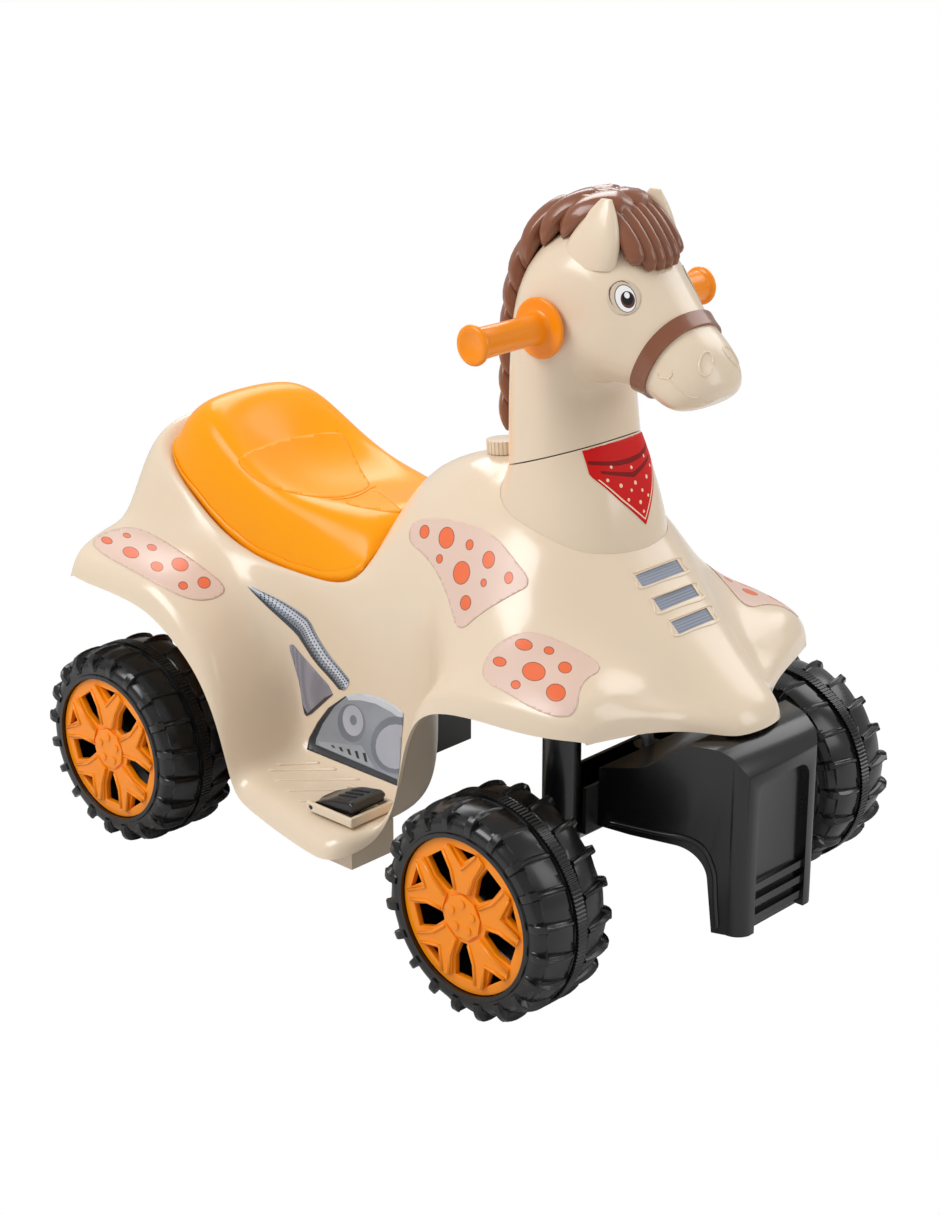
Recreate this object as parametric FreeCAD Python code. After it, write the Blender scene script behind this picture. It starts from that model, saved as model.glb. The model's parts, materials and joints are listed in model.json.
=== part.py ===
import FreeCAD, Part
import math
import os

# Kids ride-on quad with a horse's head. Millimetres, +X forward, +Y left, +Z up.
# The origin is on the ground, under the middle of the vehicle's bounding box.
# Stations are measured forward from the rear axle.
V = FreeCAD.Vector

# Layout
WHEELBASE = 500.0
REAR_OVERHANG = 115.0
FRONT_OVERHANG = 151.0
AXLE_HEIGHT = 100.0
FRONT_HALF_WIDTH = 250.0
REAR_HALF_WIDTH = 230.0
FIT = 0.3
RUN_FIT = 0.1
OVERRUN = 6.0

# Body shell: a thin moulding drawn as a net of poles over stations and widths
FENDER_HALF_WIDTH = 200.0
SURROUND_HEIGHT = 400.0
SHELL_WALL = 3.0
NOSE_STATION_SHARE = 1.13
NOSE_ROOT_SHARES = (0.10, 0.32, 0.80)
NOSE_BLEND_SHARE = 0.55
# centre station, edge station, widths from the middle out, heights
SHELL_ROW_SHARES = (
    (-.230, -.156, (0, .20, .36, .45, .525, .59, .66, .75, .875, 1.0, 1.025),
     (.590, .590, .592, .597, .602, .607, .615, .622, .635, .647, .647)),
    (-.230, -.156, (0, .20, .37, .46, .53, .59, .66, .75, .89, 1.01, 1.03),
     (.717, .717, .717, .715, .712, .712, .710, .708, .705, .692, .647)),
    (-.224, -.136, (0, .20, .37, .465, .535, .60, .675, .76, .90, 1.02, 1.035),
     (.812, .812, .807, .780, .740, .720, .717, .715, .710, .695, .645)),
    (-.206, -.104, (0, .20, .37, .465, .535, .605, .68, .765, .905, 1.025, 1.04),
     (.935, .932, .912, .850, .765, .727, .720, .717, .712, .695, .642)),
    (-.170, -.062, (0, .19, .355, .465, .54, .61, .685, .77, .91, 1.03, 1.04),
     (.995, .990, .967, .900, .785, .735, .722, .720, .715, .695, .642)),
    (-.134, -.016, (0, .19, .36, .475, .545, .61, .685, .775, .915, 1.03, 1.04),
     (.900, .895, .875, .915, .810, .742, .725, .720, .715, .695, .640)),
    (-.040, .036, (0, .25, .44, .505, .56, .62, .69, .775, .915, 1.03, 1.04),
     (.775, .775, .780, .860, .800, .750, .730, .722, .715, .692, .635)),
    (.070, .096, (0, .25, .47, .52, .57, .625, .69, .775, .91, 1.025, 1.035),
     (.717, .717, .712, .775, .755, .737, .725, .715, .705, .680, .620)),
    (.160, .168, (0, .25, .475, .525, .57, .615, .68, .77, .905, 1.02, 1.035),
     (.692, .692, .687, .745, .727, .705, .682, .665, .652, .630, .570)),
    (.224, .228, (0, .25, .475, .525, .565, .595, .66, .76, .90, 1.01, 1.03),
     (.685, .685, .680, .735, .715, .655, .610, .590, .577, .560, .507)),
    (.276, .276, (0, .25, .475, .525, .56, .565, .625, .75, .895, 1.00, 1.025),
     (.685, .685, .680, .735, .710, .587, .487, .465, .455, .440, .400)),
    (.300, .300, (0, .25, .475, .525, .555, .545, .55, .70, .875, .985, 1.015),
     (.685, .685, .680, .735, .707, .537, .362, .320, .315, .310, .275)),
    (.320, .316, (0, .25, .475, .525, .555, .54, .53, .64, .825, .97, 1.00),
     (.685, .685, .682, .735, .705, .512, .305, .265, .262, .267, .212)),
    (.390, .390, (0, .25, .475, .53, .555, .535, .525, .64, .84, 1.02, 1.045),
     (.695, .695, .690, .737, .705, .512, .305, .265, .262, .267, .210)),
    (.436, .436, (0, .225, .43, .52, .555, .535, .525, .64, .85, 1.045, 1.07),
     (.812, .787, .725, .750, .707, .512, .305, .265, .262, .267, .207)),
    (.468, .468, (0, .21, .39, .50, .56, .535, .525, .64, .86, 1.065, 1.09),
     (.980, .940, .835, .765, .710, .512, .305, .265, .262, .267, .207)),
    (.524, .524, (0, .21, .39, .50, .56, .535, .525, .64, .88, 1.095, 1.12),
     (1.025, .995, .900, .795, .712, .512, .305, .265, .262, .267, .207)),
    (.590, .590, (0, .21, .39, .51, .57, .545, .525, .64, .89, 1.13, 1.15),
     (1.055, 1.030, .945, .830, .725, .512, .305, .265, .262, .267, .207)),
    (.638, .638, (0, .21, .40, .525, .59, .56, .53, .64, .87, 1.13, 1.15),
     (1.062, 1.044, .962, .842, .732, .525, .310, .267, .265, .267, .207)),
    (.672, .672, (0, .21, .405, .535, .61, .58, .54, .64, .76, .93, .95),
     (1.060, 1.042, .970, .852, .742, .550, .350, .290, .280, .275, .230)),
    (.690, .690, (0, .21, .41, .54, .625, .61, .59, .67, .76, .85, .865),
     (1.055, 1.040, .972, .857, .752, .600, .450, .395, .375, .365, .320)),
    (.708, .708, (0, .21, .41, .545, .635, .65, .65, .70, .77, .855, .87),
     (1.050, 1.038, .975, .862, .765, .655, .555, .512, .495, .485, .440)),
    (.740, .740, (0, .21, .415, .55, .645, .69, .72, .76, .81, .87, .88),
     (1.050, 1.040, .975, .865, .777, .710, .655, .625, .607, .595, .555)),
    (.808, .808, (0, .21, .42, .555, .65, .73, .775, .815, .86, .90, .905),
     (1.050, 1.035, .970, .862, .787, .740, .707, .687, .665, .645, .605)),
    (.900, .900, (0, .21, .41, .535, .645, .73, .79, .845, .885, .915, .915),
     (1.020, 1.005, .940, .850, .790, .747, .722, .700, .680, .660, .622)),
    (.980, .976, (0, .20, .33, .455, .605, .72, .79, .84, .88, .905, .91),
     (.912, .912, .852, .800, .762, .742, .725, .702, .682, .662, .624)),
    (1.050, 1.036, (0, .19, .285, .405, .57, .69, .765, .82, .86, .885, .89),
     (.830, .830, .775, .742, .737, .732, .720, .702, .682, .664, .627)),
    (1.110, 1.070, (0, .18, .25, .365, .535, .65, .73, .785, .825, .85, .855),
     (.762, .762, .715, .700, .710, .712, .705, .692, .675, .660, .630)),
    (1.164, 1.104, (0, .165, .225, .32, .485, .60, .685, .74, .78, .805, .81),
     (.710, .710, .677, .672, .685, .690, .685, .675, .662, .650, .627)),
    (1.216, 1.112, (0, .15, .20, .285, .46, .58, .66, .715, .75, .775, .78),
     (.662, .660, .642, .642, .660, .667, .662, .655, .645, .637, .622)),
    (1.256, 1.108, (0, .14, .185, .27, .45, .575, .655, .71, .745, .77, .775),
     (.625, .625, .615, .622, .642, .647, .645, .640, .635, .630, .620)),
    (1.260, 1.106, (0, .14, .185, .27, .45, .575, .655, .71, .74, .765, .77),
     (.590, .590, .587, .595, .612, .617, .617, .617, .617, .615, .615)),
)

# Seat: a hard moulding that drops into the opening of the shell
SEAT_LENGTH_SHARE = .604
SEAT_HALF_WIDTH = 98.0
SEAT_WALL = 3.0
SEAT_BACK_SHARE = -.140
SEAT_TOP = 420.0
SEAT_CLEARANCE = 5.5
# station as a share of the length, widths, heights
SEAT_ROW_SHARES = (
    (0.000, (0, .30, .50, .60, .62, .63), (.845, .843, .836, .824, .822, .812)),
    (0.003, (0, .33, .57, .71, .755, .765), (.943, .938, .915, .872, .838, .800)),
    (0.058, (0, .35, .63, .80, .85, .86), (.983, .980, .962, .910, .838, .774)),
    (0.139, (0, .36, .67, .86, .93, .94), (1.000, .998, .988, .932, .812, .738)),
    (0.235, (0, .36, .70, .90, .97, .98), (.948, .955, .967, .920, .776, .692)),
    (0.365, (0, .37, .72, .92, .99, .995), (.850, .866, .900, .880, .730, .662)),
    (0.526, (0, .37, .72, .92, .99, 1.00), (.806, .820, .848, .832, .712, .655)),
    (0.687, (0, .35, .66, .90, .99, 1.00), (.814, .822, .835, .812, .708, .655)),
    (0.848, (0, .31, .57, .84, .97, .98), (.833, .831, .822, .792, .711, .662)),
    (0.960, (0, .29, .53, .78, .94, .95), (.845, .838, .820, .781, .714, .672)),
    (0.968, (0, .29, .53, .78, .94, .95), (.780, .775, .762, .735, .690, .665)),
)
OPENING_BACK_SHARE = -.080
OPENING_FRONT_SHARE = .380
OPENING_HALF_WIDTH = 70.0
OPENING_CORNER = 12.0

# Steering axis and neck
STEER_RAKE = 20.0
SEAM_SETBACK = 96.0
SEAM_HEIGHT = 443.0
SEAM_GAP = 1.2
NECK_SWEEP_CLEARANCE = 2.5
NECK_SWEEP_RISE = 30.0
HEAD_LENGTH = 250.0
HEAD_HEIGHT = 250.0
HEAD_HALF_WIDTH = 66.0
HEAD_WALL = 3.0
HEAD_FULLNESS = 2.3
RING_POINTS = 20
# back or top point, front or bottom point, half width: shares from the middle of the seam
HEAD_RING_SHARES = (
    ((-.207, -.076), (.207, .076), .94),
    ((-.204, .108), (.188, .180), .94),
    ((-.196, .308), (.180, .252), .955),
    ((-.176, .508), (.188, .272), .985),
    ((-.120, .688), (.196, .284), 1.00),
    ((.004, .812), (.212, .288), .985),
    ((.150, .850), (.232, .292), .94),
    ((.268, .812), (.276, .296), .88),
    ((.364, .726), (.316, .296), .80),
    ((.448, .632), (.352, .292), .71),
    ((.530, .548), (.392, .284), .65),
    ((.600, .492), (.448, .260), .62),
    ((.650, .430), (.512, .244), .575),
    ((.676, .372), (.572, .256), .455),
    ((.676, .320), (.624, .280), .21),
)
COLLAR_RING_SHARES = (
    ((-.207, -.076), (.207, .076), .94),
    ((-.232, -.124), (.272, -.072), 1.015),
    ((-.248, -.172), (.320, -.232), 1.105),
    ((-.256, -.232), (.348, -.392), 1.15),
)
COLLAR_WALL = 3.0
COLLAR_TOP_PLATE = 4.0

# Ears, mane and noseband
EAR_BASE_LENGTH = 56.0
EAR_BASE_THICKNESS = 24.0
EAR_BASE_SHARE = (.188, .716)
EAR_TIP_SHARE = (.236, .944)
# distance from the middle plane at the base and the tip
EAR_OFFSET_SHARES = (.63, .49)
# rise along the ear, size of its outline
EAR_RING_SHARES = ((0, 1.0), (.25, .98), (.5, .82), (.75, .56), (1, .20))
MANE_HALF_WIDTH = 20.0
MANE_RISE = 30.0
MANE_ROOT = 8.0
MANE_LOCKS = 8
MANE_SCALLOP_SHARES = (.84, .98, 1.04, 1.0)
# the crest line of the skull and neck that the mane follows, as shares from the seam
MANE_LINE_SHARES = (
    (-.204, .060), (-.200, .200), (-.194, .330), (-.180, .470), (-.150, .600), (-.095, .715),
    (-.010, .800), (.090, .848), (.190, .842), (.275, .800), (.345, .742), (.392, .694),
)
MANE_HEIGHT_SHARES = (.50, .92, 1.0, 1.04, 1.06, 1.02, .92, .94, 1.02, .75, .42, .20)
NOSEBAND_PROUD = 3.0
NOSEBAND_RING_SHARES = (
    ((.494, .584), (.352, .292), .700),
    ((.530, .548), (.392, .284), .650),
    ((.566, .520), (.428, .270), .632),
)

# Handlebar and grips
BAR_SHARE = (.071, .500)
BAR_RADIUS = 11.0
GRIP_END = 155.0
GRIP_RADIUS = 13.75
GRIP_KNOB_RADIUS = 17.75
GRIP_KNOB_LENGTH = 6.0
GRIP_FLANGE_RADIUS = 27.0
GRIP_FLANGE_LENGTH = 5.0
GRIP_FLANGE_GAP = 0.5

# Steering column, crank and its socket in the neck
COLUMN_RADIUS = 6.0
COLUMN_TOP_SHARE = .328
CRANK_HEIGHT = 127.0
STEER_ARM = 36.0
CRANK_THICKNESS = 5.0
CRANK_HALF_WIDTH = 9.0
STEER_PIN_RADIUS = 3.0
CRANK_PIN_LENGTH = 16.0
SOCKET_BOTTOM_SHARE = .100
SOCKET_TOP_SHARE = .228
SOCKET_REACH_SHARE = .252
SOCKET_BOLT_RADIUS = 2.5
SOCKET_BOLT_HEAD_RADIUS = 5.0
SOCKET_BOLT_HALF_LENGTH = 22.0
SOCKET_BOLT_HEAD_LENGTH = 4.0
BUSH_RADIUS = 10.0
BUSH_FLANGE_RADIUS = 14.0
BUSH_FLANGE_LENGTH = 2.5
BUSH_LENGTH = 14.0

# Front axle beam with its kingpin posts
KINGPIN_OFFSET = 122.0
KINGPIN_RADIUS = 5.0
KINGPIN_TOP = 222.0
POST_RADIUS = 17.0
POST_BOTTOM = 113.0
POST_SHOULDER = 213.0
POST_CAVITY_RADIUS = 12.0
BEAM_HALF_LENGTH = 114.0
BEAM_HALF_DEPTH = 22.0
BEAM_BOTTOM = 138.0
BEAM_TOP = 182.0
BEAM_WALL = 4.0
BEAM_BOSS_RADIUS = 14.0
CLIP_RADIUS = 9.5
CLIP_LENGTH = 3.0

# Knuckles and tie rod
KNUCKLE_HALF_LENGTH = 14.0
KNUCKLE_HALF_WIDTH = 13.0
KNUCKLE_BOTTOM = 88.0
KNUCKLE_TOP = 112.0
STUB_RADIUS = 5.0
STUB_SHOULDER_RADIUS = 9.0
ARM_HALF_WIDTH = 7.0
ARM_BOTTOM = 92.0
ARM_TOP = 99.0
ARM_PIN_LENGTH = 9.0
TIE_THICKNESS = 4.0
TIE_HALF_WIDTH = 6.5
TIE_END = 9.0
TIE_TAB_HALF_WIDTH = 14.0
TIE_TAB_FRONT = 9.0
SLOT_PLAY = 2.0

# Wheels
TYRE_RADIUS = 100.0
TYRE_WIDTH = 90.0
CARCASS_RADIUS = 95.0
CARCASS_SHOULDER = 88.0
CARCASS_CHAMFER = 9.0
CARCASS_WALL = 5.0
LUG_COUNT = 20
LUG_WIDTH = 13.0
LUG_SKEW = 15.0
LUG_INNER = 9.0
LUG_ROOT = 3.0
RIDGE_HALF_WIDTH = 6.0
RIDGE_RADIUS = 98.5
RIM_RADIUS = 71.5
RIM_THICKNESS = 6.0
RIM_FACE_SETBACK = 4.0
RIM_LEDGE = 7.0
HUB_RADIUS = 16.0
HUB_END = 20.0
WHEEL_BUSH_RADIUS = 7.5
WHEEL_BUSH_FLANGE = 11.0
WHEEL_BUSH_LENGTH = 12.0
BUSH_COLLAR = 1.5
HUB_CAP_RADIUS = 21.0
HUB_CAP_SIDES = 9
HUB_CAP_BOLTS = 5
HUB_CAP_BOLT_RADIUS = 3.6
HUB_CAP_BOLT_CIRCLE = 12.5
HUB_CAP_BOLT_RISE = 1.5
SPOKES = 5
# windows of the rim: share of the radius, degrees from the spoke
RIM_WINDOW_SHARES = ((.36, 28), (.36, 44), (.60, 50), (.84, 46), (.84, 26), (.60, 22))
RIM_NOTCH_SHARES = ((.89, -12), (.89, 12), (.72, 0))
# raised fork on each spoke
RIM_FORK_SHARES = (
    (.34, -22), (.60, -20), (.86, -24), (.92, -16), (.67, 0), (.92, 16), (.86, 24), (.60, 20),
    (.34, 22),
)
RIM_FORK_RISE = 2.5
NUT_RADIUS = 9.0
NUT_LENGTH = 6.0
NUT_SIDES = 6
REAR_AXLE_RADIUS = 5.0

# Front bumper
BUMPER_REAR_HALF_WIDTH = 100.0
BUMPER_FRONT_HALF_WIDTH = 56.0
BUMPER_TOP = 232.0
BUMPER_BOTTOM = 58.0
BUMPER_WALL = 4.0
BUMPER_CORNER = 16.0
BUMPER_BROW = 34.0
BUMPER_KNEE = 30.0
# outline seen from the side: shares of the length forward, shares of the height
BUMPER_SIDE_SHARES = (
    (0, .48), (0, .80), (.30, .84), (.58, 1.0), (1.0, 1.0), (1.0, 0), (.78, 0), (.72, .44), (.22, .46),
)
BUMPER_BROW_SHARE = (1.0, 1.0)
BUMPER_KNEE_SHARE = (.72, .44)
BUMPER_PANEL_HALF_WIDTH = 36.0
BUMPER_PANEL_DEPTH = 8.0
BUMPER_PANEL_TOP = 200.0
BUMPER_PANEL_CORNER = 14.0
BUMPER_BARS = 3
BUMPER_BAR_HEIGHT = 7.0
BUMPER_BAR_PITCH = 15.0
BUMPER_BAR_LOW = 66.0
BUMPER_BAR_PROUD = 5.0
BUMPER_TONGUE_HALF_WIDTH = 16.0
BUMPER_TONGUE_STATION_SHARE = 1.192
BUMPER_TONGUE_DEPTH = 12.0

# Chassis tray under the seat
TRAY_REAR_STATION = -62.0
TRAY_END_GAP = 12.0
TRAY_HALF_WIDTH = 96.0
TRAY_BOTTOM = 64.0
TRAY_TOP = 128.0
TRAY_WALL = 3.0
FLANGE_REAR_SHARE = .320
FLANGE_FRONT_SHARE = .372
FLANGE_HALF_WIDTH = 160.0
FLANGE_THICKNESS = 3.5
TRAY_SCREW_RADIUS = 2.0
TRAY_SCREW_HEAD_RADIUS = 4.5
TRAY_SCREW_HEAD_LENGTH = 3.0
TRAY_SCREW_INSET = 12.0

# Battery, strap, motor and gear train
BATTERY_STATION = 70.0
BATTERY_LENGTH = 101.0
BATTERY_HALF_WIDTH = 35.0
BATTERY_HEIGHT = 47.0
STRAP_SETBACK = 40.0
STRAP_LENGTH = 20.0
STRAP_THICKNESS = 2.5
GEAR_MODULE = 1.0
OUTPUT_TEETH = 48
IDLER_SMALL_TEETH = 12
IDLER_LARGE_TEETH = 36
PINION_TEETH = 10
IDLER_ANGLE = 20.0
MOTOR_ANGLE = 10.0
TIP_SHARE = 0.22
ROOT_SHARE = 0.52
ADDENDUM_SHARE = 0.70
DEDENDUM_SHARE = 1.35
STAGE_TWO_FACE = 80.0
STAGE_TWO_WIDTH = 10.0
STAGE_ONE_FACE = 66.0
STAGE_ONE_WIDTH = 5.0
GEAR_SLEEVE_RADIUS = 13.5
IDLER_PIN_RADIUS = 2.5
IDLER_HUB_RADIUS = 4.3
MOTOR_SHAFT_RADIUS = 1.6
CASE_OUTER_FACE = 92.7
CASE_SPLIT = 75.0
CASE_INNER_FACE = 56.0
CASE_REAR_STATION = -32.0
CASE_FRONT_STATION = 70.0
CASE_TOP = 136.0
CASE_WALL = 3.0
MOTOR_RADIUS = 14.0
MOTOR_LENGTH = 38.0
WIRE_RADIUS = 2.5
WIRE_BEND = 14.0
WIRE_SIDE = 10.0
WIRE_HEIGHT = 106.0
SWITCH_WIRE_SETBACK = 21.0
SWITCH_WIRE_HEIGHT = 86.0

# Pedal, its rim and the switch box under the footboard
PEDAL_RIM_FRONT_SHARE = .638
PEDAL_LENGTH = 50.0
PEDAL_INNER = 155.0
PEDAL_OUTER = 197.0
PEDAL_RISE = 17.0
PEDAL_TIP_RISE = 3.5
PEDAL_BASE_RISE = 1.8
PEDAL_LIFT = 9.5
PEDAL_PIN_RADIUS = 2.0
PEDAL_PIN_RISE = 4.4
PEDAL_PIN_SETBACK = 3.0
PEDAL_RIBS = 4
PEDAL_RIB_WIDTH = 3.0
PEDAL_RIB_ROOT = 1.0
PEDAL_RIB_RISE = 1.5
PEDAL_RIM_GAP = 3.0
PEDAL_RIM_WALL = 4.0
PEDAL_RIM_HEIGHT = 9.0
PLUNGER_RADIUS = 3.0
PLUNGER_SETBACK = 36.0
PLUNGER_PLAY = 2.5
PLUNGER_REACH = 10.0
SWITCH_BOX_HEIGHT = 34.0
SWITCH_BOX_LENGTH = 57.0
SWITCH_BOX_INNER = 150.0
SWITCH_BOX_OUTER = 204.0
SWITCH_BOX_WALL = 2.5

# Filler cap over the charging socket
CAP_SETBACK = 23.0
CAP_RADIUS = 15.0
CAP_HEIGHT = 12.0
CAP_WALL = 2.5
CAP_DROP = 0.4
CAP_FLUTES = 24
CAP_FLUTE_RADIUS = 0.9
SOCKET_TUBE_RADIUS = 8.0
SOCKET_TUBE_DEPTH = 20.0
SOCKET_FLANGE_RADIUS = 11.0
SOCKET_FLANGE_LENGTH = 1.5
SOCKET_BORE_RADIUS = 3.0
SOCKET_BORE_DEPTH = 14.0

# Three vents on the hood
# places along the hood from the collar to the nose
VENT_PLACE_SHARES = (.216, .473, .730)
VENT_HALF_WIDTHS = (29.0, 27.0, 25.0)
VENT_HEIGHT = 13.0
VENT_DEPTH = 16.0
VENT_MESH_THICKNESS = 1.5
VENT_MESH_SETBACK = 2.0

X_REAR = REAR_OVERHANG - (REAR_OVERHANG + WHEELBASE + FRONT_OVERHANG) / 2
X_FRONT = X_REAR + WHEELBASE
RAKE = math.radians(STEER_RAKE)
ALONG_Y = V(0, 1, 0)
UP = V(0, 0, 1)
TURN = 360.0


def at(station):
    """X of a station measured forward from the rear axle."""
    return X_REAR + station


def block(x0, x1, y0, y1, z0, z1):
    """Box between two corners."""
    return Part.makeBox(x1 - x0, y1 - y0, z1 - z0, V(x0, y0, z0))


def rod(radius, length, base, direction=UP):
    """Solid cylinder."""
    return Part.makeCylinder(radius, length, base, direction)


def tube(outer, inner, length, base, direction=UP):
    """Cylinder with a bore."""
    return rod(outer, length, base, direction).cut(rod(inner, length, base, direction))


def prism(points, direction):
    """Closed outline pushed along a direction."""
    wire = Part.makePolygon(list(points) + [points[0]])
    return Part.Face(wire).extrude(direction)


def joined(shapes):
    """One solid from touching shapes."""
    first = shapes[0]
    return first.fuse(list(shapes[1:])).removeSplitter()


def left_copy(shape):
    """Mirror image on the left side."""
    return shape.mirror(V(0, 0, 0), ALONG_Y)


def largest(shape):
    """Largest solid of a cut shape."""
    return max(shape.Solids, key=lambda solid: solid.Volume)


def turned(shape, degrees, centre, direction):
    """Copy turned about an axis."""
    copy = shape.copy()
    copy.rotate(centre, direction, degrees)
    return copy


def knots(count):
    """Uniform clamped cubic knots with their multiplicities."""
    inner = count - 2
    return list(range(inner)), [4] + [1] * (inner - 2) + [4]


def spline_surface(poles):
    """Cubic surface over a net of poles."""
    surface = Part.BSplineSurface()
    along, along_mults = knots(len(poles))
    across, across_mults = knots(len(poles[0]))
    surface.buildFromPolesMultsKnots(poles, along_mults, across_mults, along, across, False, False, 3, 3)
    return surface


def net_normal(poles, i, j):
    """Outward direction of a net at one pole."""
    last_row = len(poles) - 1
    last_column = len(poles[0]) - 1
    along = poles[min(i + 1, last_row)][j] - poles[max(i - 1, 0)][j]
    across = poles[i][min(j + 1, last_column)] - poles[i][max(j - 1, 0)]
    normal = along.cross(across)
    return normal.normalize()


def sunk_net(poles, depth):
    """The same net moved inwards."""
    columns = range(len(poles[0]))
    rows = range(len(poles))
    return [[poles[i][j] - net_normal(poles, i, j) * depth for j in columns] for i in rows]


def thick_sheet(poles, wall):
    """Solid moulding of even wall under a net."""
    outer = spline_surface(poles)
    inner = spline_surface(sunk_net(poles, wall))
    faces = [outer.toShape(), inner.toShape()]
    u0, u1, v0, v1 = outer.bounds()
    for u in (u0, u1):
        faces.append(Part.makeRuledSurface(outer.uIso(u).toShape(), inner.uIso(u).toShape()))
    for v in (v0, v1):
        faces.append(Part.makeRuledSurface(outer.vIso(v).toShape(), inner.vIso(v).toShape()))
    skin = Part.makeShell(faces)
    skin.sewShape()
    solid = Part.makeSolid(skin)
    if solid.Volume < 0:
        solid.reverse()
    return outer, solid


def both_sides(half):
    """Row of poles from the right edge over the middle to the left edge."""
    right = [V(p.x, -p.y, p.z) for p in reversed(half)]
    return right + half[1:]


def shell_net():
    """Poles of the body shell."""
    net = []
    root, full, reach = NOSE_ROOT_SHARES
    for centre, edge, widths, heights in SHELL_ROW_SHARES:
        half = []
        for width, height in zip(widths, heights):
            bow = width ** 3
            if centre > NOSE_STATION_SHARE:
                step = min(1, max(0, (width - root) / (full - root)))
                step = step * step * (3 - 2 * step)
                spread = min(1, width / reach) ** 2
                bow = NOSE_BLEND_SHARE * step + (1 - NOSE_BLEND_SHARE) * spread
            station = centre + (edge - centre) * bow
            half.append(V(at(station * WHEELBASE), width * FENDER_HALF_WIDTH, height * SURROUND_HEIGHT))
        net.append(both_sides(half))
    return net


def underside(shape, x, y):
    """Lowest height at which a vertical line meets a shape."""
    box = shape.BoundBox
    line = Part.makeLine(V(x, y, box.ZMin - OVERRUN), V(x, y, box.ZMax + OVERRUN))
    return min(vertex.Z for vertex in shape.common(line).Vertexes)


def topside(shape, x, y):
    """Highest height at which a vertical line meets a shape."""
    box = shape.BoundBox
    line = Part.makeLine(V(x, y, box.ZMin - OVERRUN), V(x, y, box.ZMax + OVERRUN))
    return max(vertex.Z for vertex in shape.common(line).Vertexes)


def seat_net(shell):
    """Poles of the seat, kept clear of the shell it stands on."""
    net = []
    for station, widths, heights in SEAT_ROW_SHARES:
        x = at((SEAT_BACK_SHARE + station * SEAT_LENGTH_SHARE) * WHEELBASE)
        half = []
        for width, height in zip(widths, heights):
            y = width * SEAT_HALF_WIDTH
            half.append(V(x, y, max(height * SEAT_TOP, topside(shell, x, y) + SEAT_CLEARANCE)))
        net.append(both_sides(half))
    return net


def head_point(share):
    """Point of the head's middle plane from shares measured from the seam."""
    return V(X_FRONT - SEAM_SETBACK + share[0] * HEAD_LENGTH, 0, SEAM_HEIGHT + share[1] * HEAD_HEIGHT)


def ring(back, front, half_width):
    """Points of a rounded closed outline standing across the middle plane."""
    middle = (back + front) * 0.5
    reach = (back - front) * 0.5
    points = []
    for k in range(RING_POINTS):
        angle = 2 * math.pi * k / RING_POINTS
        c = math.copysign(abs(math.cos(angle)) ** (2 / HEAD_FULLNESS), math.cos(angle))
        s = math.copysign(abs(math.sin(angle)) ** (2 / HEAD_FULLNESS), math.sin(angle))
        points.append(middle + reach * c + V(0, half_width * s, 0))
    return points


def skin(rings):
    """Solid with flat ends through closed rings of points."""
    count = len(rings[0])
    rounds = list(range(count + 1))
    closed = []
    for points in rings:
        curve = Part.BSplineCurve()
        curve.interpolate(Points=points, PeriodicFlag=True, Parameters=rounds)
        closed.append(curve)
    steps = [0]
    for k in range(1, len(rings)):
        stride = sum((a - b).Length for a, b in zip(rings[k], rings[k - 1])) / count
        steps.append(steps[-1] + stride)
    columns = []
    for j in range(closed[0].NbPoles):
        column = Part.BSplineCurve()
        column.interpolate(Points=[curve.getPole(j + 1) for curve in closed], Parameters=steps)
        columns.append(column)
    lead = columns[0]
    poles = [[column.getPole(i + 1) for column in columns] for i in range(lead.NbPoles)]
    surface = Part.BSplineSurface()
    surface.buildFromPolesMultsKnots(poles, lead.getMultiplicities(), closed[0].getMultiplicities(),
                                     lead.getKnots(), closed[0].getKnots(), False, True,
                                     lead.Degree, closed[0].Degree)
    faces = [surface.toShape()]
    for curve in (closed[0], closed[-1]):
        faces.append(Part.Face(Part.Wire(curve.toShape())))
    hull = Part.makeShell(faces)
    hull.sewShape()
    solid = Part.makeSolid(hull)
    if solid.Volume < 0:
        solid.reverse()
    return solid


def ring_loft(rings, grow):
    """Solid through rings given as shares, each grown or shrunk by the same amount."""
    rows = []
    for back_share, front_share, width_share in rings:
        back = head_point(back_share)
        front = head_point(front_share)
        outward = (back - front).normalize()
        rows.append(ring(back + outward * grow, front - outward * grow,
                         width_share * HEAD_HALF_WIDTH + grow))
    return skin(rows)


def axis_point(height):
    """Point of the raked steering axis at a height."""
    return V(X_FRONT - SEAM_SETBACK + (SEAM_HEIGHT - height) * math.tan(RAKE), 0, height)


def on_axis(shape, height):
    """Shape drawn about the vertical, set on the raked axis."""
    placed = shape.copy()
    placed.Placement = FreeCAD.Placement(axis_point(height), FreeCAD.Rotation(ALONG_Y, -STEER_RAKE))
    return placed


def half_of(shape, side):
    """Right (-1) or left (1) half of a shape, cut at the middle plane."""
    box = shape.BoundBox
    low = min(0, side * (box.YLength + OVERRUN))
    high = max(0, side * (box.YLength + OVERRUN))
    keep = block(box.XMin - OVERRUN, box.XMax + OVERRUN, low, high, box.ZMin - OVERRUN, box.ZMax + OVERRUN)
    return shape.common(keep)


def upright_edges(solid):
    """Edges of a box that run along Z."""
    return [e for e in solid.Edges if abs(e.Vertexes[0].Z - e.Vertexes[-1].Z) > OVERRUN]


def hexagon_nut(radius, bore, length, base, direction_sign):
    """Nut about an axis along Y."""
    corners = []
    for k in range(NUT_SIDES):
        angle = 2 * math.pi * k / NUT_SIDES
        corners.append(base + V(radius * math.cos(angle), 0, radius * math.sin(angle)))
    body = prism(corners, V(0, direction_sign * length, 0))
    return body.cut(rod(bore, length, base, V(0, direction_sign, 0)))


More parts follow.
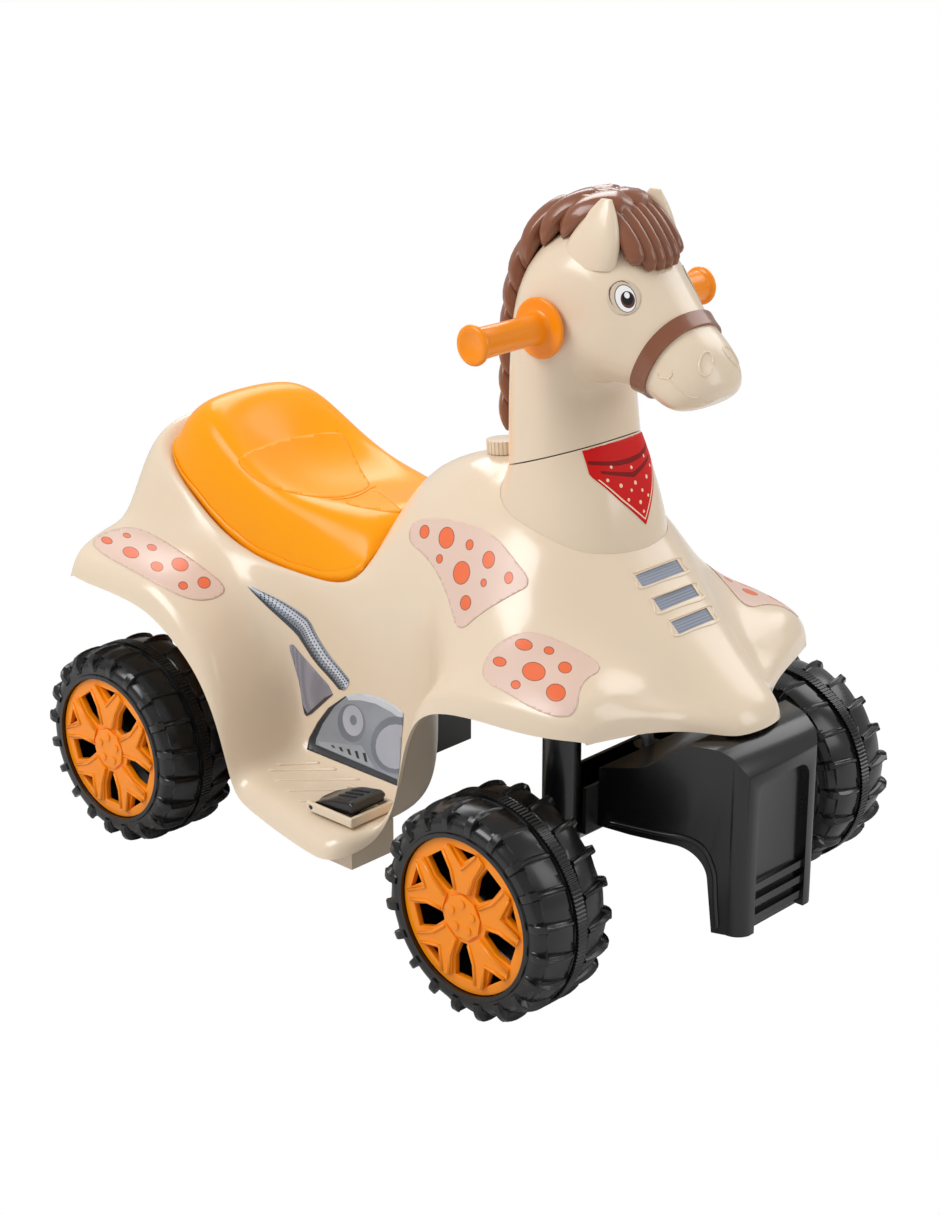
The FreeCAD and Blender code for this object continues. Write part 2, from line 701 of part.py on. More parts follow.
def gear(teeth, phase, centre, width):
    """Spur gear with straight-sided teeth, drawn across Y from its centre point."""
    pitch_radius = teeth * GEAR_MODULE / 2
    tip = pitch_radius + ADDENDUM_SHARE * GEAR_MODULE
    root = pitch_radius - DEDENDUM_SHARE * GEAR_MODULE
    step = 2 * math.pi / teeth
    points = []
    for k in range(teeth):
        middle = math.radians(phase) + k * step
        marks = ((root, -ROOT_SHARE), (tip, -TIP_SHARE), (tip, TIP_SHARE), (root, ROOT_SHARE))
        for radius, share in marks:
            angle = middle + share * step / 2
            points.append(centre + V(radius * math.cos(angle), 0, radius * math.sin(angle)))
    return prism(points, V(0, width, 0))


def swept_wire(points):
    """Round lead along straight runs joined by arcs."""
    edges = []
    start = points[0]
    for before, corner, after in zip(points, points[1:], points[2:]):
        into = (corner - before).normalize()
        out = (after - corner).normalize()
        first = corner - into * WIRE_BEND
        last = corner + out * WIRE_BEND
        hub = corner - into * WIRE_BEND + out * WIRE_BEND
        middle = hub + (corner - hub).normalize() * WIRE_BEND
        edges.append(Part.makeLine(start, first))
        edges.append(Part.Arc(first, middle, last).toShape())
        start = last
    edges.append(Part.makeLine(start, points[-1]))
    profile = Part.Wire(Part.makeCircle(WIRE_RADIUS, points[0], (points[1] - points[0]).normalize()))
    return Part.Wire(edges).makePipeShell([profile], True, False)


# Body shell with its openings
shell_surface, shell_sheet = thick_sheet(shell_net(), SHELL_WALL)
seat = thick_sheet(seat_net(shell_sheet), SEAT_WALL)[1]
opening = block(at(OPENING_BACK_SHARE * WHEELBASE), at(OPENING_FRONT_SHARE * WHEELBASE),
                -OPENING_HALF_WIDTH, OPENING_HALF_WIDTH, TRAY_TOP, SEAT_TOP)
opening = opening.makeFillet(OPENING_CORNER, upright_edges(opening))
collar_outer = ring_loft(COLLAR_RING_SHARES, 0)
seam_back, seam_front, seam_share = HEAD_RING_SHARES[0]
seam_reach = (head_point(seam_front) - head_point(seam_back)).Length / 2
sweep_radius = max(seam_reach, seam_share * HEAD_HALF_WIDTH) + NECK_SWEEP_CLEARANCE
neck_sweep = on_axis(rod(sweep_radius, NECK_SWEEP_RISE, V(0, 0, -OVERRUN)), SEAM_HEIGHT)
body_shell = shell_sheet.cut([opening, ring_loft(COLLAR_RING_SHARES, FIT), neck_sweep])

# Vents: a slot through the hood and a mesh slab in each
vent_meshes = []
collar_front = head_point(COLLAR_RING_SHARES[-1][1]).x
hood_length = at(NOSE_STATION_SHARE * WHEELBASE) - collar_front
for share, half_width in zip(VENT_PLACE_SHARES, VENT_HALF_WIDTHS):
    vent_x = collar_front + share * hood_length
    centre = V(vent_x, 0, topside(shell_sheet, vent_x, 0))
    u, v = shell_surface.parameter(centre)
    facing = FreeCAD.Placement(centre, FreeCAD.Rotation(UP, shell_surface.normal(u, v)))
    slot = block(-VENT_HEIGHT / 2, VENT_HEIGHT / 2, -half_width, half_width, -VENT_DEPTH, VENT_DEPTH)
    slot.Placement = facing
    body_shell = body_shell.cut(slot)
    mesh = block(FIT - VENT_HEIGHT / 2, VENT_HEIGHT / 2 - FIT, FIT - half_width, half_width - FIT,
                 -VENT_MESH_SETBACK - VENT_MESH_THICKNESS, -VENT_MESH_SETBACK)
    mesh.Placement = facing
    vent_meshes.append(mesh)

# Filler cap with the charging socket under it
cap_x = head_point(COLLAR_RING_SHARES[-1][0]).x - CAP_SETBACK
cap_seat = V(cap_x, 0, topside(shell_sheet, cap_x, 0))
u, v = shell_surface.parameter(cap_seat)
cap_axis = shell_surface.normal(u, v)
cap_place = FreeCAD.Placement(cap_seat + cap_axis * FIT, FreeCAD.Rotation(UP, cap_axis))
filler_cap = rod(CAP_RADIUS, CAP_HEIGHT, V(0, 0, 0))
filler_cap = filler_cap.cut(rod(CAP_RADIUS - CAP_WALL, CAP_HEIGHT - CAP_WALL, V(0, 0, 0)))
for k in range(CAP_FLUTES):
    flute = rod(CAP_FLUTE_RADIUS, CAP_HEIGHT, V(CAP_RADIUS, 0, 0))
    filler_cap = filler_cap.cut(turned(flute, TURN * k / CAP_FLUTES, V(0, 0, 0), UP))
charge_socket = rod(SOCKET_TUBE_RADIUS, SOCKET_TUBE_DEPTH, V(0, 0, -SOCKET_TUBE_DEPTH))
charge_socket = charge_socket.fuse(rod(SOCKET_FLANGE_RADIUS, SOCKET_FLANGE_LENGTH, V(0, 0, 0)))
charge_socket = charge_socket.cut(rod(SOCKET_BORE_RADIUS, SOCKET_BORE_DEPTH + SOCKET_FLANGE_LENGTH,
                                      V(0, 0, -SOCKET_BORE_DEPTH)))
socket_hole = rod(SOCKET_TUBE_RADIUS + FIT, 2 * SOCKET_TUBE_DEPTH, V(0, 0, -SOCKET_TUBE_DEPTH))
for placed in (filler_cap, charge_socket, socket_hole):
    placed.Placement = cap_place
filler_cap.translate(cap_axis * -CAP_DROP)
body_shell = body_shell.cut(socket_hole)

# Pedal, rim and switch box on the right footboard
rim_front = at(PEDAL_RIM_FRONT_SHARE * WHEELBASE)
pedal_front = rim_front - PEDAL_RIM_GAP - PEDAL_RIM_WALL
pedal_rear = pedal_front - PEDAL_LENGTH
rim_outer = PEDAL_OUTER + PEDAL_RIM_GAP + PEDAL_RIM_WALL
rim_inner = PEDAL_INNER - PEDAL_RIM_GAP - PEDAL_RIM_WALL
board_tops = []
board_unders = []
for x in (pedal_rear - PEDAL_RIM_GAP, (pedal_rear + pedal_front) / 2, rim_front):
    for y in (-rim_inner, -(rim_inner + rim_outer) / 2, -rim_outer):
        board_tops.append(topside(shell_sheet, x, y))
        board_unders.append(underside(shell_sheet, x, y))
board_top = max(board_tops)
board_under = min(board_unders)
pedal_pivot = V(pedal_rear + PEDAL_PIN_SETBACK, -PEDAL_OUTER, board_top + PEDAL_PIN_RISE)
pedal_outline = (
    V(pedal_rear, -PEDAL_OUTER, board_top + PEDAL_BASE_RISE),
    V(pedal_front, -PEDAL_OUTER, board_top + PEDAL_LIFT),
    V(pedal_front, -PEDAL_OUTER, board_top + PEDAL_RISE),
    V(pedal_rear + PEDAL_PIN_SETBACK, -PEDAL_OUTER, board_top + PEDAL_PIN_RISE + PEDAL_TIP_RISE),
    V(pedal_rear, -PEDAL_OUTER, board_top + PEDAL_PIN_RISE),
)
pedal_parts = [prism(pedal_outline, V(0, PEDAL_OUTER - PEDAL_INNER, 0))]
tread = pedal_outline[2] - pedal_outline[3]
tread_up = V(-tread.z, 0, tread.x).normalize()
for k in range(PEDAL_RIBS):
    spot = pedal_outline[3] + tread * ((k + 1) / PEDAL_RIBS) - tread * (PEDAL_RIB_WIDTH / tread.Length)
    rib_step = tread * (PEDAL_RIB_WIDTH / tread.Length)
    rib = prism((spot - tread_up * PEDAL_RIB_ROOT, spot + tread_up * PEDAL_RIB_RISE,
                 spot + tread_up * PEDAL_RIB_RISE + rib_step, spot - tread_up * PEDAL_RIB_ROOT + rib_step),
                V(0, PEDAL_OUTER - PEDAL_INNER, 0))
    pedal_parts.append(rib)
pin_reach = PEDAL_RIM_GAP + PEDAL_RIM_WALL - FIT
pin_start = V(pedal_pivot.x, -PEDAL_OUTER - pin_reach, pedal_pivot.z)
pedal_parts.append(rod(PEDAL_PIN_RADIUS, PEDAL_OUTER - PEDAL_INNER + 2 * pin_reach, pin_start, ALONG_Y))
plunger_y = -(PEDAL_INNER + PEDAL_OUTER) / 2
plunger_foot = V(pedal_rear + PLUNGER_SETBACK, plunger_y, board_under - PLUNGER_REACH)
pedal_parts.append(rod(PLUNGER_RADIUS, board_top + PEDAL_LIFT - plunger_foot.z, plunger_foot))
pedal = joined(pedal_parts)
body_shell = body_shell.cut(rod(PLUNGER_RADIUS + PLUNGER_PLAY, 2 * PLUNGER_REACH + SHELL_WALL,
                                plunger_foot))
rim_base = board_top + FIT
pedal_rim = block(pedal_rear - PEDAL_RIM_GAP, rim_front, -rim_outer, -rim_inner, rim_base,
                  rim_base + PEDAL_RIM_HEIGHT)
pedal_rim = pedal_rim.cut(block(pedal_rear - PEDAL_RIM_GAP, rim_front - PEDAL_RIM_WALL,
                                PEDAL_RIM_WALL - rim_outer, -PEDAL_RIM_WALL - rim_inner, rim_base,
                                rim_base + PEDAL_RIM_HEIGHT))
pedal_rim = pedal_rim.cut(rod(PEDAL_PIN_RADIUS + RUN_FIT, rim_outer - rim_inner,
                              V(pedal_pivot.x, -rim_outer, pedal_pivot.z), ALONG_Y))
switch_box = block(pedal_rear, pedal_rear + SWITCH_BOX_LENGTH, -SWITCH_BOX_OUTER, -SWITCH_BOX_INNER,
                   board_under - SWITCH_BOX_HEIGHT, board_under - FIT)
switch_box = switch_box.cut(block(pedal_rear + SWITCH_BOX_WALL,
                                  pedal_rear + SWITCH_BOX_LENGTH - SWITCH_BOX_WALL,
                                  SWITCH_BOX_WALL - SWITCH_BOX_OUTER, -SWITCH_BOX_WALL - SWITCH_BOX_INNER,
                                  board_under - SWITCH_BOX_HEIGHT + SWITCH_BOX_WALL, board_under))

# Neck collar with its top plate and bush
axis_slab = block(-HEAD_LENGTH, HEAD_LENGTH, -HEAD_LENGTH, HEAD_LENGTH, -COLLAR_TOP_PLATE, 0)
collar_inner = ring_loft(COLLAR_RING_SHARES, -COLLAR_WALL)
collar_plate = on_axis(axis_slab, SEAM_HEIGHT).common(collar_outer)
neck_collar = joined([collar_outer.cut(collar_inner), collar_plate])
bush_hole = on_axis(rod(BUSH_RADIUS + RUN_FIT, 2 * BUSH_LENGTH, V(0, 0, -BUSH_LENGTH)), SEAM_HEIGHT)
neck_collar = neck_collar.cut(bush_hole)
collar_bush = rod(BUSH_RADIUS, BUSH_LENGTH, V(0, 0, BUSH_FLANGE_LENGTH - BUSH_LENGTH))
collar_bush = joined([collar_bush, rod(BUSH_FLANGE_RADIUS, BUSH_FLANGE_LENGTH, V(0, 0, 0))])
collar_bush = collar_bush.cut(rod(COLUMN_RADIUS + RUN_FIT, 2 * BUSH_LENGTH, V(0, 0, -BUSH_LENGTH)))
collar_bush = on_axis(collar_bush, SEAM_HEIGHT)

# Head halves with ears
head_outer = ring_loft(HEAD_RING_SHARES, 0)
head_inner = ring_loft(HEAD_RING_SHARES[:-1], -HEAD_WALL)
seam_slab = on_axis(block(-HEAD_LENGTH, HEAD_LENGTH, -HEAD_LENGTH, HEAD_LENGTH, -SEAM_GAP, SEAM_GAP),
                    SEAM_HEIGHT)
ear_base = head_point(EAR_BASE_SHARE)
ear_tip = head_point(EAR_TIP_SHARE)
ear_rings = []
for rise, size in EAR_RING_SHARES:
    offset = EAR_OFFSET_SHARES[0] + (EAR_OFFSET_SHARES[1] - EAR_OFFSET_SHARES[0]) * rise
    reach = V(EAR_BASE_LENGTH * size / 2, 0, 0)
    middle = ear_base + (ear_tip - ear_base) * rise - V(0, offset * HEAD_HALF_WIDTH, 0)
    ear_rings.append(ring(middle - reach, middle + reach, EAR_BASE_THICKNESS * size / 2))
ear = skin(ear_rings)
bar_middle = head_point(BAR_SHARE)
bar_hole = rod(BAR_RADIUS + RUN_FIT, 2 * GRIP_END, bar_middle - V(0, GRIP_END, 0), ALONG_Y)
head_body = head_outer.fuse([ear, left_copy(ear)])
head_body = head_body.cut([head_inner, seam_slab, bar_hole])
head_right_half = largest(half_of(head_body, -1))
head_left_half = largest(half_of(head_body, 1))

# Mane over the crest with scalloped locks, and the noseband
crest = Part.BSplineCurve()
crest.interpolate([head_point(share) for share in MANE_LINE_SHARES])
crest_count = len(MANE_LINE_SHARES) - 1
mane_rings = []
steps = MANE_LOCKS * len(MANE_SCALLOP_SHARES)
for k in range(steps + 1):
    share = k / steps
    parameter = crest.FirstParameter + (crest.LastParameter - crest.FirstParameter) * share
    spot = crest.value(parameter)
    run = crest.tangent(parameter)[0]
    outward = V(-run.z, 0, run.x)
    place = share * crest_count
    low = min(int(place), crest_count - 1)
    near, far = MANE_HEIGHT_SHARES[low:low + 2]
    height_share = near + (far - near) * (place - low)
    rise = MANE_RISE * height_share * MANE_SCALLOP_SHARES[k % len(MANE_SCALLOP_SHARES)]
    half_width = MANE_HALF_WIDTH * MANE_SCALLOP_SHARES[k % len(MANE_SCALLOP_SHARES)]
    mane_rings.append(ring(spot + outward * rise, spot - outward * MANE_ROOT, half_width))
head_solid = head_outer.fuse([ear, left_copy(ear)])
mane = largest(skin(mane_rings).cut(head_solid))
noseband = largest(ring_loft(NOSEBAND_RING_SHARES, NOSEBAND_PROUD).cut(head_outer))

# Handlebar and grips
bar_end = GRIP_END - GRIP_KNOB_LENGTH
handlebar_tube = rod(BAR_RADIUS, 2 * bar_end, bar_middle - V(0, bar_end, 0), ALONG_Y)
grip_start = HEAD_HALF_WIDTH + GRIP_FLANGE_GAP
grip_base = bar_middle + V(0, grip_start, 0)
grip_left = joined([
    rod(GRIP_RADIUS, GRIP_END - grip_start, grip_base, ALONG_Y),
    rod(GRIP_FLANGE_RADIUS, GRIP_FLANGE_LENGTH, grip_base, ALONG_Y),
    rod(GRIP_KNOB_RADIUS, GRIP_KNOB_LENGTH, grip_base + V(0, bar_end - grip_start, 0), ALONG_Y),
])
grip_left = grip_left.cut(rod(BAR_RADIUS + RUN_FIT, bar_end + FIT, bar_middle, ALONG_Y))
grip_right = left_copy(grip_left)

# Steering column with its crank, the socket in the neck and the bolt through both
column_top = SEAM_HEIGHT + COLUMN_TOP_SHARE * HEAD_HEIGHT
column_length = (column_top - CRANK_HEIGHT) / math.cos(RAKE)
crank_tail = STEER_ARM + CRANK_HALF_WIDTH
steering_column = joined([
    rod(COLUMN_RADIUS, column_length, V(0, 0, 0)),
    block(-crank_tail, CRANK_HALF_WIDTH, -CRANK_HALF_WIDTH, CRANK_HALF_WIDTH, -CRANK_THICKNESS, 0),
    rod(STEER_PIN_RADIUS, CRANK_PIN_LENGTH + CRANK_THICKNESS,
        V(-STEER_ARM, 0, -CRANK_PIN_LENGTH - CRANK_THICKNESS)),
])
steering_column = on_axis(steering_column, CRANK_HEIGHT)
socket_bottom = SEAM_HEIGHT + SOCKET_BOTTOM_SHARE * HEAD_HEIGHT
socket_top = SEAM_HEIGHT + SOCKET_TOP_SHARE * HEAD_HEIGHT
socket_reach = SOCKET_REACH_SHARE * HEAD_LENGTH
socket_length = (socket_top - socket_bottom) / math.cos(RAKE)
socket_slab = on_axis(block(-socket_reach, socket_reach, -HEAD_LENGTH, HEAD_LENGTH, 0, socket_length),
                      socket_bottom)
socket_bore = on_axis(rod(COLUMN_RADIUS + RUN_FIT, socket_length, V(0, 0, 0)), socket_bottom)
bolt_middle = axis_point((socket_bottom + socket_top) / 2)
bolt_end = bolt_middle - V(0, SOCKET_BOLT_HALF_LENGTH, 0)
column_bolt = joined([
    rod(SOCKET_BOLT_RADIUS, 2 * SOCKET_BOLT_HALF_LENGTH, bolt_end, ALONG_Y),
    rod(SOCKET_BOLT_HEAD_RADIUS, SOCKET_BOLT_HEAD_LENGTH, bolt_end - V(0, SOCKET_BOLT_HEAD_LENGTH, 0),
        ALONG_Y),
])
bolt_hole = rod(SOCKET_BOLT_RADIUS + RUN_FIT, 2 * HEAD_HALF_WIDTH, bolt_middle - V(0, HEAD_HALF_WIDTH, 0),
                ALONG_Y)
head_pocket = rod(SOCKET_BOLT_HEAD_RADIUS + FIT, HEAD_HALF_WIDTH, bolt_end, V(0, -1, 0))
column_socket = ring_loft(HEAD_RING_SHARES[:-1], -HEAD_WALL - FIT).common(socket_slab)
column_socket = largest(column_socket.cut([socket_bore, bolt_hole, head_pocket]))
steering_column = steering_column.cut(bolt_hole)

# Front axle beam: an open channel with kingpin posts and a raked boss
post_tops = []
for dx in (-POST_RADIUS, 0, POST_RADIUS):
    for dy in (-POST_RADIUS, 0, POST_RADIUS):
        post_tops.append(underside(shell_sheet, X_FRONT + dx, dy - KINGPIN_OFFSET))
post_top = min(post_tops) - FIT
channel = block(X_FRONT - BEAM_HALF_DEPTH, X_FRONT + BEAM_HALF_DEPTH, -BEAM_HALF_LENGTH, BEAM_HALF_LENGTH,
                BEAM_BOTTOM, BEAM_TOP)
trough = block(X_FRONT - BEAM_HALF_DEPTH + BEAM_WALL, X_FRONT + BEAM_HALF_DEPTH - BEAM_WALL,
               -BEAM_HALF_LENGTH,
               BEAM_HALF_LENGTH, BEAM_BOTTOM + BEAM_WALL, BEAM_TOP)
boss_length = (BEAM_TOP - BEAM_BOTTOM) / math.cos(RAKE)
boss = on_axis(rod(BEAM_BOSS_RADIUS, boss_length + 2 * OVERRUN, V(0, 0, -OVERRUN)), BEAM_BOTTOM)
boss = boss.common(block(X_FRONT - WHEELBASE, X_FRONT + WHEELBASE, -BEAM_HALF_LENGTH, BEAM_HALF_LENGTH,
                         BEAM_BOTTOM, BEAM_TOP))
post_left = rod(POST_RADIUS, post_top - POST_BOTTOM, V(X_FRONT, KINGPIN_OFFSET, POST_BOTTOM))
front_axle_beam = joined([channel.cut(trough), boss, post_left, left_copy(post_left)])
front_axle_beam = front_axle_beam.cut(on_axis(rod(COLUMN_RADIUS + RUN_FIT, boss_length + 4 * OVERRUN,
                                                  V(0, 0, -2 * OVERRUN)), BEAM_BOTTOM))
for y in (-KINGPIN_OFFSET, KINGPIN_OFFSET):
    front_axle_beam = front_axle_beam.cut([
        rod(KINGPIN_RADIUS + RUN_FIT, POST_SHOULDER - POST_BOTTOM, V(X_FRONT, y, POST_BOTTOM)),
        rod(POST_CAVITY_RADIUS, post_top - POST_SHOULDER, V(X_FRONT, y, POST_SHOULDER)),
    ])

# Knuckles, clips and tie rod
tyre_half = TYRE_WIDTH / 2
front_middle = FRONT_HALF_WIDTH - tyre_half
rear_middle = REAR_HALF_WIDTH - tyre_half
hub_outer = HUB_END + BUSH_COLLAR + FIT
hub_inner = tyre_half + BUSH_COLLAR + FIT
knuckle_outer = KINGPIN_OFFSET + KNUCKLE_HALF_WIDTH
arm_pin = V(X_FRONT - STEER_ARM, KINGPIN_OFFSET, ARM_TOP)
knuckle_left = joined([
    block(X_FRONT - KNUCKLE_HALF_LENGTH, X_FRONT + KNUCKLE_HALF_LENGTH, KINGPIN_OFFSET - KNUCKLE_HALF_WIDTH,
          knuckle_outer, KNUCKLE_BOTTOM, KNUCKLE_TOP),
    rod(STUB_SHOULDER_RADIUS, front_middle - hub_inner - knuckle_outer, V(X_FRONT, knuckle_outer,
                                                                          AXLE_HEIGHT), ALONG_Y),
    rod(STUB_RADIUS, front_middle + hub_outer + NUT_LENGTH - knuckle_outer, V(X_FRONT, knuckle_outer,
                                                                              AXLE_HEIGHT),
        ALONG_Y),
    rod(KINGPIN_RADIUS, KINGPIN_TOP - KNUCKLE_TOP, V(X_FRONT, KINGPIN_OFFSET, KNUCKLE_TOP)),
    block(arm_pin.x - ARM_HALF_WIDTH, X_FRONT - KNUCKLE_HALF_LENGTH, KINGPIN_OFFSET - ARM_HALF_WIDTH,
          KINGPIN_OFFSET + ARM_HALF_WIDTH, ARM_BOTTOM, ARM_TOP),
    rod(STEER_PIN_RADIUS, ARM_PIN_LENGTH, arm_pin),
])
knuckle_right = left_copy(knuckle_left)
kingpin_clip_left = tube(CLIP_RADIUS, KINGPIN_RADIUS, CLIP_LENGTH, V(X_FRONT, KINGPIN_OFFSET,
                                                                     POST_SHOULDER + FIT))
kingpin_clip_right = left_copy(kingpin_clip_left)
tie_bottom = ARM_TOP + FIT
tie_end = KINGPIN_OFFSET + TIE_END
pin_low = axis_point(CRANK_HEIGHT) + V(-math.cos(RAKE), 0, -math.sin(RAKE)) * STEER_ARM
slot_x = pin_low.x + (pin_low.z - tie_bottom - TIE_THICKNESS / 2) * math.tan(RAKE)
slot_half = STEER_PIN_RADIUS + FIT
tie_rod = joined([
    block(arm_pin.x - TIE_HALF_WIDTH, arm_pin.x + TIE_HALF_WIDTH, -tie_end, tie_end, tie_bottom,
          tie_bottom + TIE_THICKNESS),
    block(arm_pin.x, slot_x + TIE_TAB_FRONT, -TIE_TAB_HALF_WIDTH, TIE_TAB_HALF_WIDTH, tie_bottom,
          tie_bottom + TIE_THICKNESS),
])
tie_rod = tie_rod.cut(block(slot_x - slot_half - SLOT_PLAY, slot_x + slot_half + SLOT_PLAY, -slot_half,
                            slot_half,
                            tie_bottom, tie_bottom + TIE_THICKNESS))
tie_rod = tie_rod.cut(rod(STEER_PIN_RADIUS + RUN_FIT, TIE_THICKNESS, V(arm_pin.x, -KINGPIN_OFFSET,
                                                                       tie_bottom)))
tie_rod = tie_rod.cut(rod(STEER_PIN_RADIUS + FIT, TIE_THICKNESS, V(arm_pin.x, KINGPIN_OFFSET, tie_bottom)))

# Wheel: hollow moulding with slanted lugs, drawn at the origin with +Y outward
rim_seat = RIM_FACE_SETBACK + RIM_THICKNESS
carcass_outline = (
    (WHEEL_BUSH_RADIUS + RUN_FIT, -tyre_half), (CARCASS_SHOULDER, -tyre_half),
    (CARCASS_RADIUS, CARCASS_CHAMFER - tyre_half), (CARCASS_RADIUS, tyre_half - CARCASS_CHAMFER),
    (CARCASS_SHOULDER, tyre_half), (RIM_RADIUS + RUN_FIT, tyre_half), (RIM_RADIUS + RUN_FIT,
                                                                       tyre_half - rim_seat),
    (RIM_RADIUS - RIM_LEDGE, tyre_half - rim_seat), (RIM_RADIUS - RIM_LEDGE,
                                                     tyre_half - rim_seat - CARCASS_WALL),
    (CARCASS_SHOULDER, tyre_half - rim_seat - CARCASS_WALL),
    (CARCASS_RADIUS - CARCASS_WALL, tyre_half - rim_seat - 2 * CARCASS_WALL),
    (CARCASS_RADIUS - CARCASS_WALL, 2 * CARCASS_WALL - tyre_half),
    (CARCASS_SHOULDER - CARCASS_WALL, CARCASS_WALL - tyre_half), (HUB_RADIUS, CARCASS_WALL - tyre_half),
    (HUB_RADIUS, HUB_END), (WHEEL_BUSH_RADIUS + RUN_FIT, HUB_END),
)


def revolved(outline):
    """Ring swept about Y from points given as radius and Y."""
    points = [V(radius, y, 0) for radius, y in outline]
    face = Part.Face(Part.makePolygon(points + [points[0]]))
    return face.revolve(V(0, 0, 0), ALONG_Y, TURN)


carcass = revolved(carcass_outline)
lug_envelope = revolved((
    (CARCASS_SHOULDER, -tyre_half), (CARCASS_SHOULDER + LUG_ROOT, -tyre_half), (TYRE_RADIUS,
                                                                                CARCASS_CHAMFER - tyre_half),
    (TYRE_RADIUS, tyre_half - CARCASS_CHAMFER), (CARCASS_SHOULDER + LUG_ROOT, tyre_half), (CARCASS_SHOULDER,
                                                                                           tyre_half),
    (CARCASS_RADIUS - LUG_ROOT, tyre_half - CARCASS_CHAMFER), (CARCASS_RADIUS - LUG_ROOT,
                                                               CARCASS_CHAMFER - tyre_half),
))
lugs = []
for side in (-1, 1):
    lug = prism((V(-LUG_WIDTH / 2, side * LUG_INNER, -TYRE_RADIUS - OVERRUN),
                 V(LUG_WIDTH / 2, side * LUG_INNER, -TYRE_RADIUS - OVERRUN),
                 V(LUG_WIDTH / 2 + LUG_SKEW, side * tyre_half, -TYRE_RADIUS - OVERRUN),
                 V(LUG_SKEW - LUG_WIDTH / 2, side * tyre_half, -TYRE_RADIUS - OVERRUN)),
                V(0, 0, TYRE_RADIUS - CARCASS_SHOULDER + 2 * OVERRUN))
    lug = lug.common(lug_envelope)
    for k in range(LUG_COUNT):
        lugs.append(turned(lug, TURN * (k + (side + 1) / 4) / LUG_COUNT, V(0, 0, 0), ALONG_Y))
ridge = revolved(((CARCASS_RADIUS - LUG_ROOT, -RIDGE_HALF_WIDTH), (RIDGE_RADIUS, -RIDGE_HALF_WIDTH),
                  (RIDGE_RADIUS, RIDGE_HALF_WIDTH), (CARCASS_RADIUS - LUG_ROOT, RIDGE_HALF_WIDTH)))
tyre = joined([carcass, ridge] + lugs)
rim_back = tyre_half - rim_seat
rim = rod(RIM_RADIUS, RIM_THICKNESS, V(0, rim_back, 0), ALONG_Y)
cap_base = tyre_half - RIM_FACE_SETBACK


def spoke_outline(shares, spoke, y):
    """Outline on the wheel's face from shares of the rim's radius and degrees off a spoke."""
    points = []
    for share, degrees in shares:
        angle = math.radians(degrees + TURN * spoke / SPOKES)
        points.append(V(share * RIM_RADIUS * math.sin(angle), y, share * RIM_RADIUS * math.cos(angle)))
    return points


for k in range(SPOKES):
    for outline in (RIM_WINDOW_SHARES, RIM_NOTCH_SHARES):
        rim = rim.cut(prism(spoke_outline(outline, k, rim_back), V(0, RIM_THICKNESS, 0)))
    rim = rim.fuse(prism(spoke_outline(RIM_FORK_SHARES, k, cap_base - FIT), V(0, RIM_FORK_RISE + FIT, 0)))
rim = rim.removeSplitter()
cap_corners = []
for k in range(HUB_CAP_SIDES):
    angle = 2 * math.pi * k / HUB_CAP_SIDES
    cap_corners.append(V(HUB_CAP_RADIUS * math.sin(angle), cap_base, HUB_CAP_RADIUS * math.cos(angle)))
cap_thickness = RIM_FACE_SETBACK - HUB_CAP_BOLT_RISE
cap_parts = [prism(cap_corners, V(0, cap_thickness, 0))]
for k in range(HUB_CAP_BOLTS):
    angle = 2 * math.pi * k / HUB_CAP_BOLTS
    spot = V(HUB_CAP_BOLT_CIRCLE * math.sin(angle), cap_base, HUB_CAP_BOLT_CIRCLE * math.cos(angle))
    cap_parts.append(rod(HUB_CAP_BOLT_RADIUS, RIM_FACE_SETBACK, spot, ALONG_Y))
hub_cap = joined(cap_parts)
bush_pair = []
for face, sign in ((-tyre_half, -1), (HUB_END, 1)):
    flange = rod(WHEEL_BUSH_FLANGE, BUSH_COLLAR, V(0, face, 0), V(0, sign, 0))
    sleeve = rod(WHEEL_BUSH_RADIUS, WHEEL_BUSH_LENGTH, V(0, face, 0), V(0, -sign, 0))
    bore_start = V(0, face - sign * WHEEL_BUSH_LENGTH, 0)
    bore = rod(STUB_RADIUS + RUN_FIT, 2 * WHEEL_BUSH_LENGTH, bore_start, V(0, sign, 0))
    bush_pair.append(joined([sleeve, flange]).cut(bore))
bushes = Part.makeCompound(bush_pair)

# Rear axle, nuts and the gear train
left_collar = rear_middle - hub_inner - TRAY_HALF_WIDTH - FIT
rear_reach = rear_middle + hub_outer + NUT_LENGTH
rear_axle = joined([
    rod(REAR_AXLE_RADIUS, 2 * rear_reach, V(X_REAR, -rear_reach, AXLE_HEIGHT), ALONG_Y),
    rod(STUB_SHOULDER_RADIUS, left_collar, V(X_REAR, TRAY_HALF_WIDTH + FIT, AXLE_HEIGHT), ALONG_Y),
])
rear_nut = hexagon_nut(NUT_RADIUS, REAR_AXLE_RADIUS, NUT_LENGTH, V(X_REAR, rear_middle + hub_outer,
                                                                   AXLE_HEIGHT), 1)
rear_axle_nuts = Part.makeCompound([rear_nut, left_copy(rear_nut)])
front_axle_nut_left = hexagon_nut(NUT_RADIUS, STUB_RADIUS, NUT_LENGTH,
                                  V(X_FRONT, front_middle + hub_outer, AXLE_HEIGHT), 1)
front_axle_nut_right = left_copy(front_axle_nut_left)
stage_two = (OUTPUT_TEETH + IDLER_SMALL_TEETH) * GEAR_MODULE / 2
stage_one = (IDLER_LARGE_TEETH + PINION_TEETH) * GEAR_MODULE / 2
lift = math.radians(IDLER_ANGLE)
swing = math.radians(MOTOR_ANGLE)
idler_x = X_REAR + stage_two * math.cos(lift)
idler_z = AXLE_HEIGHT + stage_two * math.sin(lift)
motor_x = idler_x + stage_one * math.cos(swing)
motor_z = idler_z + stage_one * math.sin(swing)
half_turn = TURN / 2
sleeve_end = rear_middle - tyre_half
